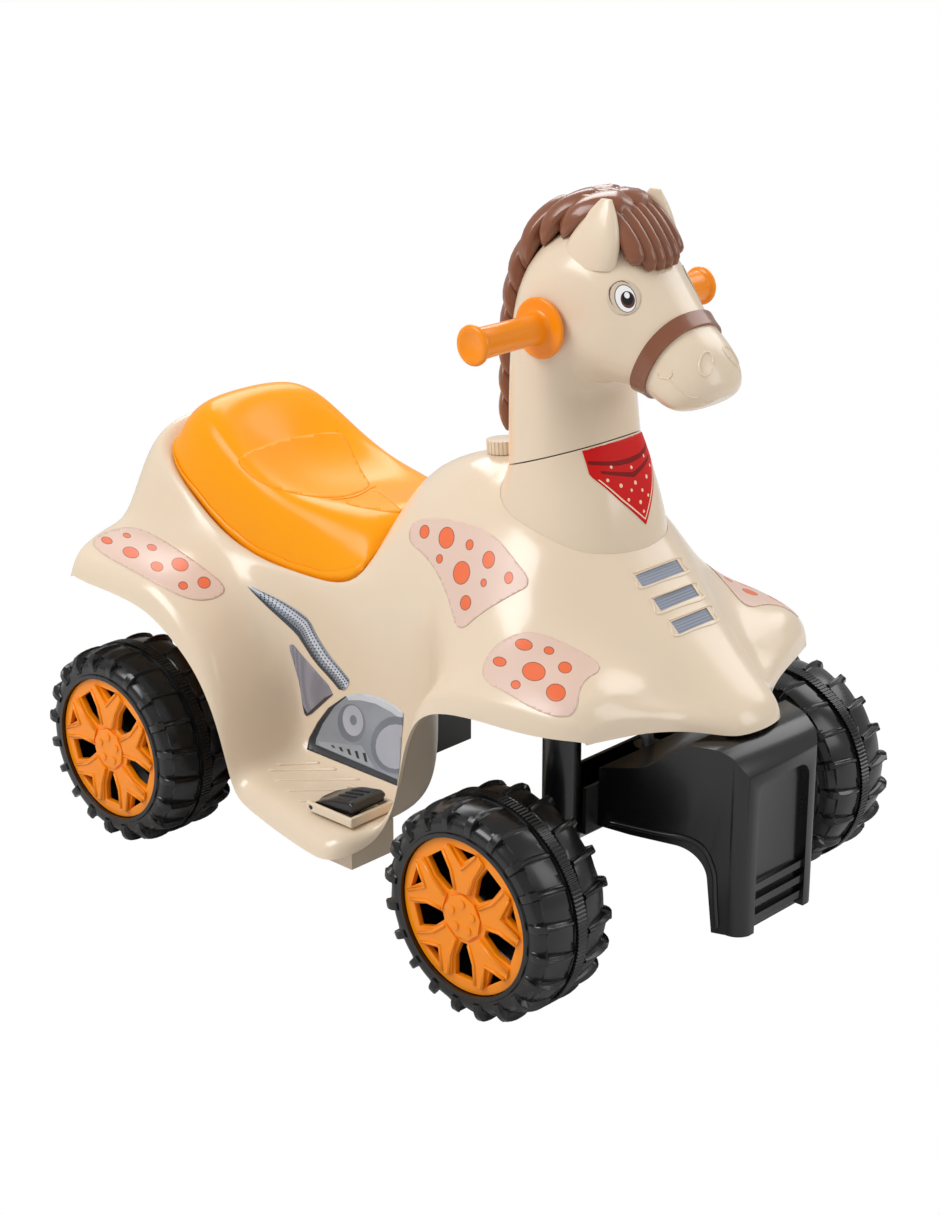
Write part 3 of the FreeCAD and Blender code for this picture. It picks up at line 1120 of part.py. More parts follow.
drive_gear = joined([
    gear(OUTPUT_TEETH, IDLER_ANGLE, V(X_REAR, -STAGE_TWO_FACE, AXLE_HEIGHT), STAGE_TWO_WIDTH),
    rod(GEAR_SLEEVE_RADIUS, sleeve_end - STAGE_TWO_FACE, V(X_REAR, -sleeve_end, AXLE_HEIGHT), ALONG_Y),
])
drive_gear = drive_gear.cut([
    rod(REAR_AXLE_RADIUS + RUN_FIT, sleeve_end, V(X_REAR, -sleeve_end, AXLE_HEIGHT), ALONG_Y),
    rod(WHEEL_BUSH_FLANGE + RUN_FIT, BUSH_COLLAR, V(X_REAR, -sleeve_end, AXLE_HEIGHT), ALONG_Y),
])
small_phase = IDLER_ANGLE + half_turn + half_turn / IDLER_SMALL_TEETH
idler_gear = joined([
    gear(IDLER_SMALL_TEETH, small_phase, V(idler_x, -STAGE_TWO_FACE, idler_z), STAGE_TWO_WIDTH),
    rod(IDLER_HUB_RADIUS, STAGE_TWO_FACE - STAGE_ONE_FACE, V(idler_x, -STAGE_TWO_FACE, idler_z), ALONG_Y),
    gear(IDLER_LARGE_TEETH, MOTOR_ANGLE, V(idler_x, -STAGE_ONE_FACE, idler_z), STAGE_ONE_WIDTH),
])
idler_gear = idler_gear.cut(rod(IDLER_PIN_RADIUS + RUN_FIT, CASE_OUTER_FACE, V(idler_x, -CASE_OUTER_FACE,
                                                                               idler_z), ALONG_Y))
pinion_phase = MOTOR_ANGLE + half_turn + half_turn / PINION_TEETH
shaft_end = CASE_INNER_FACE + FIT
motor_pinion = joined([
    gear(PINION_TEETH, pinion_phase, V(motor_x, -STAGE_ONE_FACE, motor_z), STAGE_ONE_WIDTH),
    rod(MOTOR_SHAFT_RADIUS, STAGE_ONE_FACE - shaft_end, V(motor_x, -STAGE_ONE_FACE, motor_z), ALONG_Y),
])
case_low = TRAY_BOTTOM + TRAY_WALL + FIT
case_outside = block(at(CASE_REAR_STATION), at(CASE_FRONT_STATION), -CASE_OUTER_FACE, -CASE_INNER_FACE,
                     case_low, CASE_TOP)
case_inside = block(at(CASE_REAR_STATION) + CASE_WALL, at(CASE_FRONT_STATION) - CASE_WALL,
                    CASE_WALL - CASE_OUTER_FACE,
                    -CASE_WALL - CASE_INNER_FACE, case_low + CASE_WALL, CASE_TOP - CASE_WALL)
idler_pin = rod(IDLER_PIN_RADIUS, CASE_OUTER_FACE - CASE_INNER_FACE - CASE_WALL,
                V(idler_x, CASE_WALL / 2 - CASE_OUTER_FACE, idler_z), ALONG_Y)
case_body = case_outside.cut([
    case_inside, idler_pin,
    rod(GEAR_SLEEVE_RADIUS + FIT, CASE_OUTER_FACE - CASE_SPLIT, V(X_REAR, -CASE_OUTER_FACE, AXLE_HEIGHT),
        ALONG_Y),
    rod(REAR_AXLE_RADIUS + RUN_FIT, CASE_OUTER_FACE, V(X_REAR, -CASE_OUTER_FACE, AXLE_HEIGHT), ALONG_Y),
    rod(MOTOR_SHAFT_RADIUS + FIT, CASE_SPLIT - CASE_INNER_FACE, V(motor_x, -CASE_SPLIT, motor_z), ALONG_Y),
])
outer_zone = block(at(CASE_REAR_STATION), at(CASE_FRONT_STATION), -CASE_OUTER_FACE, -CASE_SPLIT, case_low,
                   CASE_TOP)
gearbox_outer = case_body.common(outer_zone)
gearbox_inner = case_body.cut(outer_zone)
motor_start = V(motor_x, FIT - CASE_INNER_FACE, motor_z)
drive_motor = rod(MOTOR_RADIUS, MOTOR_LENGTH, motor_start, ALONG_Y)

# Chassis tray with flanges under the footboards
tray_x0 = at(TRAY_REAR_STATION)
flange_x0 = at(FLANGE_REAR_SHARE * WHEELBASE)
flange_x1 = at(FLANGE_FRONT_SHARE * WHEELBASE)
battery_x0 = at(BATTERY_STATION)
battery_x1 = battery_x0 + BATTERY_LENGTH
tray_x1 = max(flange_x1, battery_x1 + TRAY_END_GAP + TRAY_WALL)
flange_tops = []
for x in (flange_x0, flange_x1):
    for y in (TRAY_HALF_WIDTH + SHELL_WALL, FLANGE_HALF_WIDTH):
        for side in (-1, 1):
            line = shell_sheet.common(Part.makeLine(V(x, side * y, 0), V(x, side * y,
                                                                         AXLE_HEIGHT + TRAY_BOTTOM)))
            flange_tops.extend(vertex.Z for vertex in line.Vertexes)
flange_top = min(flange_tops) - FIT
flange_left = block(flange_x0, flange_x1, TRAY_HALF_WIDTH - TRAY_WALL, FLANGE_HALF_WIDTH,
                    flange_top - FLANGE_THICKNESS, flange_top)
tray_hull = block(tray_x0, tray_x1, -TRAY_HALF_WIDTH, TRAY_HALF_WIDTH, TRAY_BOTTOM, TRAY_TOP)
tray_room = block(tray_x0 + TRAY_WALL, tray_x1 - TRAY_WALL, TRAY_WALL - TRAY_HALF_WIDTH,
                  TRAY_HALF_WIDTH - TRAY_WALL,
                  TRAY_BOTTOM + TRAY_WALL, TRAY_TOP)
switch_wire_x = battery_x1 - SWITCH_WIRE_SETBACK
chassis_tray = joined([tray_hull.cut(tray_room), flange_left, left_copy(flange_left)])
chassis_tray = chassis_tray.cut([
    rod(GEAR_SLEEVE_RADIUS + FIT, 2 * TRAY_WALL, V(X_REAR, -TRAY_HALF_WIDTH - TRAY_WALL, AXLE_HEIGHT),
        ALONG_Y),
    rod(REAR_AXLE_RADIUS + RUN_FIT, 2 * TRAY_WALL, V(X_REAR, TRAY_HALF_WIDTH - 2 * TRAY_WALL, AXLE_HEIGHT),
        ALONG_Y),
    rod(WIRE_RADIUS + FIT, 3 * TRAY_WALL, V(switch_wire_x, -TRAY_HALF_WIDTH - TRAY_WALL, SWITCH_WIRE_HEIGHT),
        ALONG_Y),
])
screws = []
for y in (TRAY_HALF_WIDTH + TRAY_SCREW_INSET, FLANGE_HALF_WIDTH - TRAY_SCREW_INSET):
    for side in (-1, 1):
        foot = V((flange_x0 + flange_x1) / 2, side * y, flange_top - FLANGE_THICKNESS)
        shank_length = FLANGE_THICKNESS + SHELL_WALL / 2
        hole = rod(TRAY_SCREW_RADIUS + RUN_FIT, shank_length + FIT, foot)
        chassis_tray = chassis_tray.cut(hole)
        body_shell = body_shell.cut(hole)
        head = rod(TRAY_SCREW_HEAD_RADIUS, TRAY_SCREW_HEAD_LENGTH, foot - V(0, 0, TRAY_SCREW_HEAD_LENGTH))
        screws.append(joined([rod(TRAY_SCREW_RADIUS, shank_length, foot), head]))
tray_screws = Part.makeCompound(screws)

# Battery, strap and leads
battery_low = TRAY_BOTTOM + TRAY_WALL + FIT
battery = block(battery_x0, battery_x1, -BATTERY_HALF_WIDTH, BATTERY_HALF_WIDTH, battery_low,
                battery_low + BATTERY_HEIGHT)
strap_side = BATTERY_HALF_WIDTH + FIT
strap_top = battery_low + BATTERY_HEIGHT + FIT
strap_x0 = battery_x0 + STRAP_SETBACK
strap_x1 = strap_x0 + STRAP_LENGTH
battery_strap = block(strap_x0, strap_x1, -strap_side - STRAP_THICKNESS, strap_side + STRAP_THICKNESS,
                      battery_low, strap_top + STRAP_THICKNESS)
battery_strap = battery_strap.cut(block(strap_x0, strap_x1, -strap_side, strap_side, battery_low, strap_top))
motor_lead = swept_wire((V(battery_x0 - FIT, WIRE_SIDE, WIRE_HEIGHT), V(motor_x, WIRE_SIDE, WIRE_HEIGHT),
                         V(motor_x, motor_start.y + MOTOR_LENGTH + FIT, WIRE_HEIGHT)))
box_middle = -(SWITCH_BOX_INNER + SWITCH_BOX_OUTER) / 2
switch_lead = swept_wire((V(switch_wire_x, -FIT - BATTERY_HALF_WIDTH, SWITCH_WIRE_HEIGHT),
                          V(switch_wire_x, box_middle, SWITCH_WIRE_HEIGHT),
                          V(pedal_rear - FIT, box_middle, SWITCH_WIRE_HEIGHT)))
wiring_harness = Part.makeCompound([motor_lead, switch_lead])

# Front bumper: hollow, open behind and below, with a recessed panel and slots
bumper_rear = X_FRONT + BEAM_HALF_DEPTH + FIT
bumper_length = FRONT_OVERHANG - BEAM_HALF_DEPTH - FIT
bumper_height = BUMPER_TOP - BUMPER_BOTTOM


bumper_front = bumper_rear + bumper_length


def bumper_spot(share):
    """Point of the bumper's side outline."""
    return V(bumper_rear + share[0] * bumper_length, 0, BUMPER_BOTTOM + share[1] * bumper_height)


def bumper_plan(inset):
    """Bumper's outline from above with rounded front corners, as a tall block."""
    front = bumper_front - inset + FIT
    rear = bumper_rear - OVERRUN
    narrow = BUMPER_FRONT_HALF_WIDTH - inset
    wide = BUMPER_REAR_HALF_WIDTH - inset
    corner = BUMPER_CORNER - inset
    diagonal = corner * math.sin(math.pi / 4)
    right = [V(rear, -wide, 0), V(front - corner, -narrow, 0), V(front, corner - narrow, 0)]
    left = [V(point.x, -point.y, 0) for point in right]
    bend = V(front - corner + diagonal, corner - narrow - diagonal, 0)
    edges = [
        Part.makeLine(right[0], right[1]), Part.Arc(right[1], bend, right[2]).toShape(),
        Part.makeLine(right[2], left[2]),
        Part.Arc(left[2], V(bend.x, -bend.y, 0), left[1]).toShape(),
        Part.makeLine(left[1], left[0]), Part.makeLine(left[0], right[0]),
    ]
    return Part.Face(Part.Wire(edges)).extrude(V(0, 0, 2 * BUMPER_TOP))


def bumper_hull(inset):
    """Bumper's outer shape, or its hollow when inset by the wall."""
    side = [bumper_spot(share) for share in BUMPER_SIDE_SHARES]
    profile = Part.Face(Part.makePolygon(side + [side[0]]))
    if inset:
        profile = profile.makeOffset2D(-inset, 2)
    wide = BUMPER_REAR_HALF_WIDTH
    solid = profile.extrude(V(0, 2 * wide, 0))
    solid.translate(V(0, -wide, 0))
    for share, radius in ((BUMPER_BROW_SHARE, BUMPER_BROW - inset), (BUMPER_KNEE_SHARE, BUMPER_KNEE + inset)):
        spot = bumper_spot(share)
        across = [edge for edge in solid.Edges if edge.BoundBox.YLength > wide]
        nearest = min(across, key=lambda edge: (edge.valueAt(edge.FirstParameter) - spot).Length)
        solid = solid.makeFillet(radius, [nearest])
    return solid.common(bumper_plan(inset))


def panel_block(depth, grow):
    """Block through the front of the bumper with a rounded top, for the recessed panel."""
    made = block(bumper_front - depth, bumper_front + OVERRUN, -BUMPER_PANEL_HALF_WIDTH - grow,
                 BUMPER_PANEL_HALF_WIDTH + grow, BUMPER_BOTTOM - OVERRUN, BUMPER_PANEL_TOP + grow)
    top = made.BoundBox.ZMax
    corners = [edge for edge in made.Edges
               if edge.BoundBox.XLength > OVERRUN and abs(edge.BoundBox.ZMin - top) < FIT]
    return made.makeFillet(BUMPER_PANEL_CORNER, corners)


panel_back = panel_block(BUMPER_PANEL_DEPTH + BUMPER_WALL, BUMPER_WALL)
bumper_room = bumper_hull(BUMPER_WALL).cut(panel_back)
cuts = [bumper_room, panel_block(BUMPER_PANEL_DEPTH, 0)]
for shift in (V(-2 * BUMPER_WALL, 0, 0), V(0, 0, -2 * BUMPER_WALL)):
    moved = bumper_room.copy()
    moved.translate(shift)
    cuts.append(moved)
cuts.append(on_axis(rod(BEAM_BOSS_RADIUS + FIT, boss_length + 2 * OVERRUN, V(0, 0, -OVERRUN)), BEAM_BOTTOM))
bumper_bars = []
bar_x = bumper_front - BUMPER_PANEL_DEPTH
for k in range(BUMPER_BARS):
    low = BUMPER_BAR_LOW + k * BUMPER_BAR_PITCH
    bumper_bars.append(block(bar_x - FIT, bar_x + BUMPER_BAR_PROUD, -BUMPER_PANEL_HALF_WIDTH - FIT,
                             BUMPER_PANEL_HALF_WIDTH + FIT, low, low + BUMPER_BAR_HEIGHT))
front_bumper = joined([largest(bumper_hull(0).cut(cuts))] + bumper_bars)
tongue_x = at(BUMPER_TONGUE_STATION_SHARE * WHEELBASE)
tongue_tops = []
for x in (tongue_x, tongue_x + BUMPER_TONGUE_DEPTH):
    for y in (-BUMPER_TONGUE_HALF_WIDTH, 0, BUMPER_TONGUE_HALF_WIDTH):
        tongue_tops.append(underside(shell_sheet, x, y))
tongue = block(tongue_x, tongue_x + BUMPER_TONGUE_DEPTH, -BUMPER_TONGUE_HALF_WIDTH,
               BUMPER_TONGUE_HALF_WIDTH,
               BUMPER_TOP - BUMPER_WALL, min(tongue_tops) - FIT)
front_bumper = joined([front_bumper, tongue])

nodes = {
    "body_shell": body_shell, "seat": seat, "neck_collar": neck_collar, "collar_bush": collar_bush,
    "head_right_half": head_right_half, "head_left_half": head_left_half, "mane": mane,
    "noseband": noseband,
    "handlebar_tube": handlebar_tube, "grip_right": grip_right, "grip_left": grip_left,
    "filler_cap": filler_cap, "charge_socket": charge_socket, "vent_meshes": Part.makeCompound(vent_meshes),
    "pedal": pedal, "pedal_rim": pedal_rim, "switch_box": switch_box,
    "front_bumper": front_bumper, "front_axle_beam": front_axle_beam,
    "steering_column": steering_column, "column_socket": column_socket, "column_bolt": column_bolt,
    "knuckle_right": knuckle_right, "knuckle_left": knuckle_left,
    "kingpin_clip_right": kingpin_clip_right, "kingpin_clip_left": kingpin_clip_left, "tie_rod": tie_rod,
    "rear_axle": rear_axle, "rear_axle_nuts": rear_axle_nuts,
    "front_axle_nut_right": front_axle_nut_right, "front_axle_nut_left": front_axle_nut_left,
    "drive_gear": drive_gear, "idler_gear": idler_gear, "idler_pin": idler_pin,
    "motor_pinion": motor_pinion,
    "gearbox_outer": gearbox_outer, "gearbox_inner": gearbox_inner, "drive_motor": drive_motor,
    "chassis_tray": chassis_tray, "tray_screws": tray_screws, "battery": battery,
    "battery_strap": battery_strap,
    "wiring_harness": wiring_harness,
}
for place, x, middle in (("front", X_FRONT, front_middle), ("rear", X_REAR, rear_middle)):
    for piece, shape in (("tyre", tyre), ("rim", rim), ("hub_cap", hub_cap), ("bushes", bushes)):
        left = shape.copy()
        left.translate(V(x, middle, AXLE_HEIGHT))
        nodes[place + "_left_" + piece] = left
        nodes[place + "_right_" + piece] = left_copy(left)

os.makedirs("parts", exist_ok=True)
for name, shape in nodes.items():
    shape.exportStep("parts/" + name + ".step")
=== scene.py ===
# %% [markdown]
# # A child's ride-on quad with a horse's head
# The CAD frame holds every piece at its true size. This notebook keeps the smooth CAD mouldings, gives
# each one its finish, and adds what only shows on the surface: printed foil, the face, the mane's locks,
# the tread on the footboards and the grain of the seat.

# %% Load the frame
import json
import math
import bmesh
import bpy
import numpy
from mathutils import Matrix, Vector
from mathutils.bvhtree import BVHTree
from mathutils.geometry import delaunay_2d_cdt


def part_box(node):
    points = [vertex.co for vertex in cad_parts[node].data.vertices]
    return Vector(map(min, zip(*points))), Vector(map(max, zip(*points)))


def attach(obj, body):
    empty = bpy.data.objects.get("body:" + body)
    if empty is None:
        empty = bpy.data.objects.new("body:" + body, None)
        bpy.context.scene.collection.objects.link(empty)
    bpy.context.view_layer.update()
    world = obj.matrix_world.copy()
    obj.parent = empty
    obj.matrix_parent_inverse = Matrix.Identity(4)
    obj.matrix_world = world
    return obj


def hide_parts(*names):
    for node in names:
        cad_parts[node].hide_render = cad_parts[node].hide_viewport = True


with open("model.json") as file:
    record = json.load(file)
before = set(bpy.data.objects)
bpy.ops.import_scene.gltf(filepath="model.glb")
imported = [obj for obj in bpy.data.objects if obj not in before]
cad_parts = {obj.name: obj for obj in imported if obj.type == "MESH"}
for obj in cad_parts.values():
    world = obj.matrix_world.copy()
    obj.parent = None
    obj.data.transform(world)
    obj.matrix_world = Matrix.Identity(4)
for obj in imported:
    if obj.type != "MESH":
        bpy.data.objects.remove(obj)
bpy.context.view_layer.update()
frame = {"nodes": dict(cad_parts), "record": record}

nodes = frame["nodes"]

# %% [markdown]
# The photograph's camera was found from the ellipses of the wheels. Its place, aim and focal length are
# kept here as they were fitted, so that a line through a point of the picture meets the same spot on the
# model. A longer lens would flatten the horse's head against the seat.

# %% Camera
PICTURE_WIDTH, PICTURE_HEIGHT = 940, 1215
FOCAL_PIXELS = 2470.0
SENSOR_WIDTH = 36.0
CAMERA_PLACE = Vector((1.526936, -1.610507, 1.079387))
CAMERA_AIM = Vector((0.00703, 0.0, 0.25704))
scene = bpy.context.scene


def stand(name, data, place, aim):
    """An object that stands at a place in the scene and looks at its aim."""
    item = bpy.data.objects.new(name, data)
    item.location = place
    item.rotation_euler = (Vector(aim) - Vector(place)).to_track_quat("-Z", "Y").to_euler()
    scene.collection.objects.link(item)
    return item


camera_data = bpy.data.cameras.new("camera")
camera_data.sensor_width = SENSOR_WIDTH
camera_data.lens = FOCAL_PIXELS / PICTURE_HEIGHT * SENSOR_WIDTH
camera_data.dof.use_dof = False
camera = stand("camera", camera_data, CAMERA_PLACE, CAMERA_AIM)
scene.camera = camera
print("lens", round(camera_data.lens, 2), "mm")

# %% [markdown]
# The toy stands in a white studio: a large soft light above and to the left, a weaker one from the right,
# one behind and one beyond the toy that draws a sheen on the hood. Area lights give soft, long highlights
# on gloss plastic; a sun lamp would leave hard shadows under the fenders.

# %% Lights
scene.view_settings.view_transform = "Standard"
# place, aim, width in metres and power in watts
LAMPS = {
    "key": ((-0.8, -2.1, 2.6), (0.0, 0.0, 0.3), 1.6, 56.0),
    "fill": ((2.5, 1.0, 1.5), (0.1, 0.0, 0.3), 1.4, 15.0),
    "back": ((-1.6, 1.4, 2.2), (-0.1, 0.0, 0.3), 1.4, 26.0),
    "sheen": ((0.5, 2.2, 2.1), (0.2, 0.0, 0.35), 1.4, 16.0),
}
for name, (place, aim, size, watts) in LAMPS.items():
    lamp_data = bpy.data.lights.new(name, "AREA")
    lamp_data.size = size
    lamp_data.energy = watts
    stand(name, lamp_data, place, aim)
print("lamps", len(LAMPS))

# %% [markdown]
# Floor and backdrop are white paper. Paper that is bright enough to look white would also flood the
# plastic with light, so it is white only to the camera's own rays and a softer grey to all others.

# %% White paper
ROOM_STRENGTH = 0.55
ROOM_GREY, FLOOR_GREY = 0.9, 0.72
FLOOR_REACH, FLOOR_DROP = 6.0, 0.0005


def set_sockets(node, **values):
    """Sets values on a node's sockets; an underscore stands for a space in a socket's name."""
    for socket, value in values.items():
        node.inputs[socket.replace("_", " ")].default_value = value
    return node


def new_node(tree, kind, **values):
    """A new shader node with its values."""
    return set_sockets(tree.nodes.new("ShaderNode" + kind), **values)


def wire(tree, *links):
    """Joins sockets; each link names a node, its output, the next node and its input."""
    for source, output, target, socket in links:
        tree.links.new(source.outputs[output], target.inputs[socket])


def paper(holder, output, white, kind, level, **values):
    """White to the camera's own rays, a softer grey to every other ray."""
    holder.use_nodes = True
    tree = holder.node_tree
    tree.nodes.clear()
    mix = new_node(tree, "MixShader")
    wire(tree, (new_node(tree, "LightPath"), "Is Camera Ray", mix, 0),
         (new_node(tree, kind, Color=(level, level, level, 1), **values), 0, mix, 1),
         (new_node(tree, white, Color=(1, 1, 1, 1), Strength=1.0), 0, mix, 2),
         (mix, 0, new_node(tree, output), "Surface"))


scene.world = bpy.data.worlds.new("studio")
paper(scene.world, "OutputWorld", "Background", "Background", ROOM_GREY, Strength=ROOM_STRENGTH)
floor_paper = bpy.data.materials.new("floor_paper")
paper(floor_paper, "OutputMaterial", "Emission", "BsdfDiffuse", FLOOR_GREY)
floor_corners = [(x * FLOOR_REACH, y * FLOOR_REACH, 0) for x, y in ((-1, -1), (1, -1), (1, 1), (-1, 1))]
floor_mesh = bpy.data.meshes.new("floor")
floor_mesh.from_pydata(floor_corners, [], [(0, 1, 2, 3)])
floor_mesh.materials.append(floor_paper)
floor = bpy.data.objects.new("floor", floor_mesh)
floor.location.z = -FLOOR_DROP
scene.collection.objects.link(floor)
print("paper floor", 2 * FLOOR_REACH, "m wide")

# %% [markdown]
# Most of the toy is injection- or blow-moulded plastic. Such plastic is never perfectly even: the mould
# leaves a faint orange-peel texture and a slightly patchy gloss. One helper builds that finish from two
# noise textures, so that each colour gets its own grain and strength.

# %% Moulded plastics
PATCH_SCALE, PATCH_DETAIL, GRAIN_DETAIL = 9.0, 3.0, 2.0
GLOSS_SPREAD, GRAIN_DEPTH, COAT_ROUGHNESS = 0.15, 0.0004, 0.12


def linear(colour):
    """Linear colour of a screen colour given in 0 to 255."""
    shares = [c / 255 for c in colour]
    return [s / 12.92 if s < 0.04045 else ((s + 0.055) / 1.055) ** 2.4 for s in shares] + [1.0]


def moulded(name, colour, roughness=0.34, grain=300, strength=0.02, patch=0.06, coat=0.0, shine=0.5):
    """Plastic with a patchy colour, an uneven gloss and a fine bump."""
    material = bpy.data.materials.new(name)
    material.use_nodes = True
    tree = material.node_tree
    shader = set_sockets(tree.nodes["Principled BSDF"], Specular_IOR_Level=shine, Coat_Weight=coat,
                         Coat_Roughness=COAT_ROUGHNESS)
    place = new_node(tree, "TexCoord")
    broad = new_node(tree, "TexNoise", Scale=PATCH_SCALE, Detail=PATCH_DETAIL)
    fine = new_node(tree, "TexNoise", Scale=grain, Detail=GRAIN_DETAIL)
    dull, shiny = roughness * (1 + GLOSS_SPREAD), roughness * (1 - GLOSS_SPREAD)
    gloss = new_node(tree, "MapRange", To_Min=shiny, To_Max=dull)
    bump = new_node(tree, "Bump", Strength=strength, Distance=GRAIN_DEPTH)
    tint = new_node(tree, "Mix")
    tint.data_type = "RGBA"
    for socket, share in ((6, 1 - patch), (7, 1 + patch)):
        tint.inputs[socket].default_value = [min(1, c * share) for c in linear(colour)[:3]] + [1]
    wire(tree, (place, "Object", broad, "Vector"), (place, "Object", fine, "Vector"),
         (broad, "Fac", tint, "Factor"), (tint, 2, shader, "Base Color"),
         (broad, "Fac", gloss, "Value"), (gloss, "Result", shader, "Roughness"),
         (fine, "Fac", bump, "Height"), (bump, "Normal", shader, "Normal"))
    return material


cream = moulded("cream_shell", (232, 212, 186), 0.25, 260, 0.04, 0.015, 0.30)
orange = moulded("orange_moulding", (254, 161, 4), 0.24, 260, 0.04, 0.02, 0.04, 0.25)
deep_orange = moulded("orange_wheel_face", (254, 145, 8), 0.26, 260, 0.04, 0.03, 0.15, 0.35)
brown = moulded("brown_hair", (134, 80, 53), 0.27, 320, 0.04, 0.06, 0.30)
black = moulded("black_moulding", (13, 13, 14), 0.26, 420, 0.06, 0.10, 0.20)
tread = moulded("wheel_plastic", (14, 14, 15), 0.26, 520, 0.05, 0.12, 0.15)
grey = moulded("grey_moulding", (120, 122, 126), 0.45, 420, 0.08, 0.05)
white = moulded("bearing_white", (222, 222, 218), 0.42, 420, 0.06, 0.04)
blue = moulded("blue_sleeve", (30, 62, 140), 0.42, 420, 0.06, 0.05)
case = moulded("battery_case", (48, 50, 56), 0.42, 420, 0.08, 0.06)
print("cream in linear light", [round(c, 3) for c in linear((232, 212, 186))])

# %% [markdown]
# Axles, tie rod, nuts and screws are zinc-plated steel. Rod stock keeps fine drawn lines from the mill. A
# stretched noise that drives only the roughness shows them; a bump would make the rods look scratched.

# %% Plated steel
STEEL_LINES = (400, 20, 400)
STEEL_GLOSS = (0.22, 0.45)
steel = bpy.data.materials.new("plated_steel")
steel.use_nodes = True
steel_tree = steel.node_tree
steel_shader = steel_tree.nodes["Principled BSDF"]
set_sockets(steel_shader, Metallic=1.0, Base_Color=linear((186, 188, 192)))
steel_map = new_node(steel_tree, "Mapping", Scale=STEEL_LINES)
steel_noise = new_node(steel_tree, "TexNoise", Scale=1.0)
steel_gloss = new_node(steel_tree, "MapRange", To_Min=STEEL_GLOSS[0], To_Max=STEEL_GLOSS[1])
wire(steel_tree, (new_node(steel_tree, "TexCoord"), "Object", steel_map, "Vector"),
     (steel_map, "Vector", steel_noise, "Vector"), (steel_noise, "Fac", steel_gloss, "Value"),
     (steel_gloss, "Result", steel_shader, "Roughness"))
print("plated steel lines", STEEL_LINES)

# %% [markdown]
# Every CAD piece takes the finish that its record slot names; only the wheel faces are of a deeper orange
# than the seat. Curved faces are shaded smooth and split at true edges. The pieces that fingers and feet
# touch have round edges, which a bevel gives without touching the CAD mesh itself.

# %% Finish of the CAD pieces
FINISH = {"cream_plastic": cream, "orange_plastic": orange, "brown_plastic": brown, "black_wheel": tread,
          "black_plastic": black, "grey_mesh": grey, "grey_plastic": grey, "bearing_plastic": white,
          "battery_case": case, "lead_sleeve": blue, "steel": steel}
SMOOTH_ANGLE = math.radians(32)
CORNERS = ("front_right", "front_left", "rear_right", "rear_left")
ROUND_EDGES = {"pedal": 0.0016, "pedal_rim": 0.0019, "filler_cap": 0.0012, "front_bumper": 0.004}
for corner in CORNERS:
    ROUND_EDGES[corner + "_rim"] = ROUND_EDGES[corner + "_hub_cap"] = 0.0009
WELD_REACH, BEVEL_STEPS, BEVEL_ANGLE = 0.00002, 4, math.radians(40)


def sharp_edges(piece, angle=SMOOTH_ANGLE):
    """Splits the smooth shading at true edges."""
    piece.modifiers.new("sharp edges", "EDGE_SPLIT").split_angle = angle


for part in frame["record"]["subparts"]:
    piece = nodes[part["node"]]
    piece.data.materials.clear()
    deep = part["node"].endswith(("_rim", "_hub_cap")) and part["material_slot"] == "orange_plastic"
    piece.data.materials.append(deep_orange if deep else FINISH[part["material_slot"]])
    if part["node"] in ROUND_EDGES:
        piece.modifiers.new("joined faces", "WELD").merge_threshold = WELD_REACH
        bevel = piece.modifiers.new("round edges", "BEVEL")
        bevel.width = ROUND_EDGES[part["node"]]
        bevel.segments = BEVEL_STEPS
        bevel.limit_method = "ANGLE"
        bevel.angle_limit = BEVEL_ANGLE
    sharp_edges(piece)
    for face in piece.data.polygons:
        face.use_smooth = True

# %% [markdown]
# The stickers are printed foil. Each outline was read off the picture as a few corner points. A ray from
# the camera through every point finds the spot on the moulding where the foil lies, so the foil follows
# the curved plastic. Painting a texture would need an unwrapped mesh; thin foil needs none.

# %% Rays from the picture to the mouldings
CAMERA_FRAME = camera.rotation_euler.to_matrix()
SKIN = {}


def skin_of(name):
    """Search tree over one CAD piece, made once."""
    if name not in SKIN:
        mesh = nodes[name].data
        SKIN[name] = BVHTree.FromPolygons([v.co for v in mesh.vertices], [p.vertices for p in mesh.polygons])
    return SKIN[name]


def struck(piece, start, direction):
    """Place and outward direction where a ray meets a CAD piece, or None."""
    hit, normal = skin_of(piece).ray_cast(start, direction)[:2]
    if hit is None:
        return None
    return hit, normal if normal.dot(direction) < 0 else -normal


def spot_on(pixel, piece):
    """Spot where the camera's ray through a point of the picture meets a CAD piece."""
    across, down = pixel[0] - PICTURE_WIDTH / 2, pixel[1] - PICTURE_HEIGHT / 2
    sight = (CAMERA_FRAME @ Vector((across, -down, -FOCAL_PIXELS))).normalized()
    return struck(piece, CAMERA_PLACE, sight)


NOSE_PIXEL = (690, 380)
print("nose spot", [round(x, 3) for x in spot_on(NOSE_PIXEL, "head_right_half")[0]])

# %% [markdown]
# A print has several colours on one sheet. The sheet is cut into triangles so that the edge of every mark
# is also an edge of the mesh, and each triangle takes the ink of the last mark that covers it. Stacked
# sheets would do as well, but they would cast small shadows that flat print doesn't have.

# %% Cutting a sheet
CORNER_CUT = 0.25
MERGE_DISTANCE = 1e-3


def pairs(loop):
    """Neighbours along a closed loop."""
    return zip(loop, loop[1:] + loop[:1])


def rounded_outline(corners, rounds):
    """Closed outline with its corners cut smooth."""
    points = [Vector(c) for c in corners]
    for turn in range(rounds):
        points = [a * (1 - share) + b * share
                  for a, b in pairs(points) for share in (CORNER_CUT, 1 - CORNER_CUT)]
    return points


def inside(point, outline):
    """Whether a point of the picture lies within an outline."""
    odd = False
    for a, b in pairs(outline):
        if (a.y > point.y) != (b.y > point.y):
            if point.x < a.x + (b.x - a.x) * (point.y - a.y) / (b.y - a.y):
                odd = not odd
    return odd


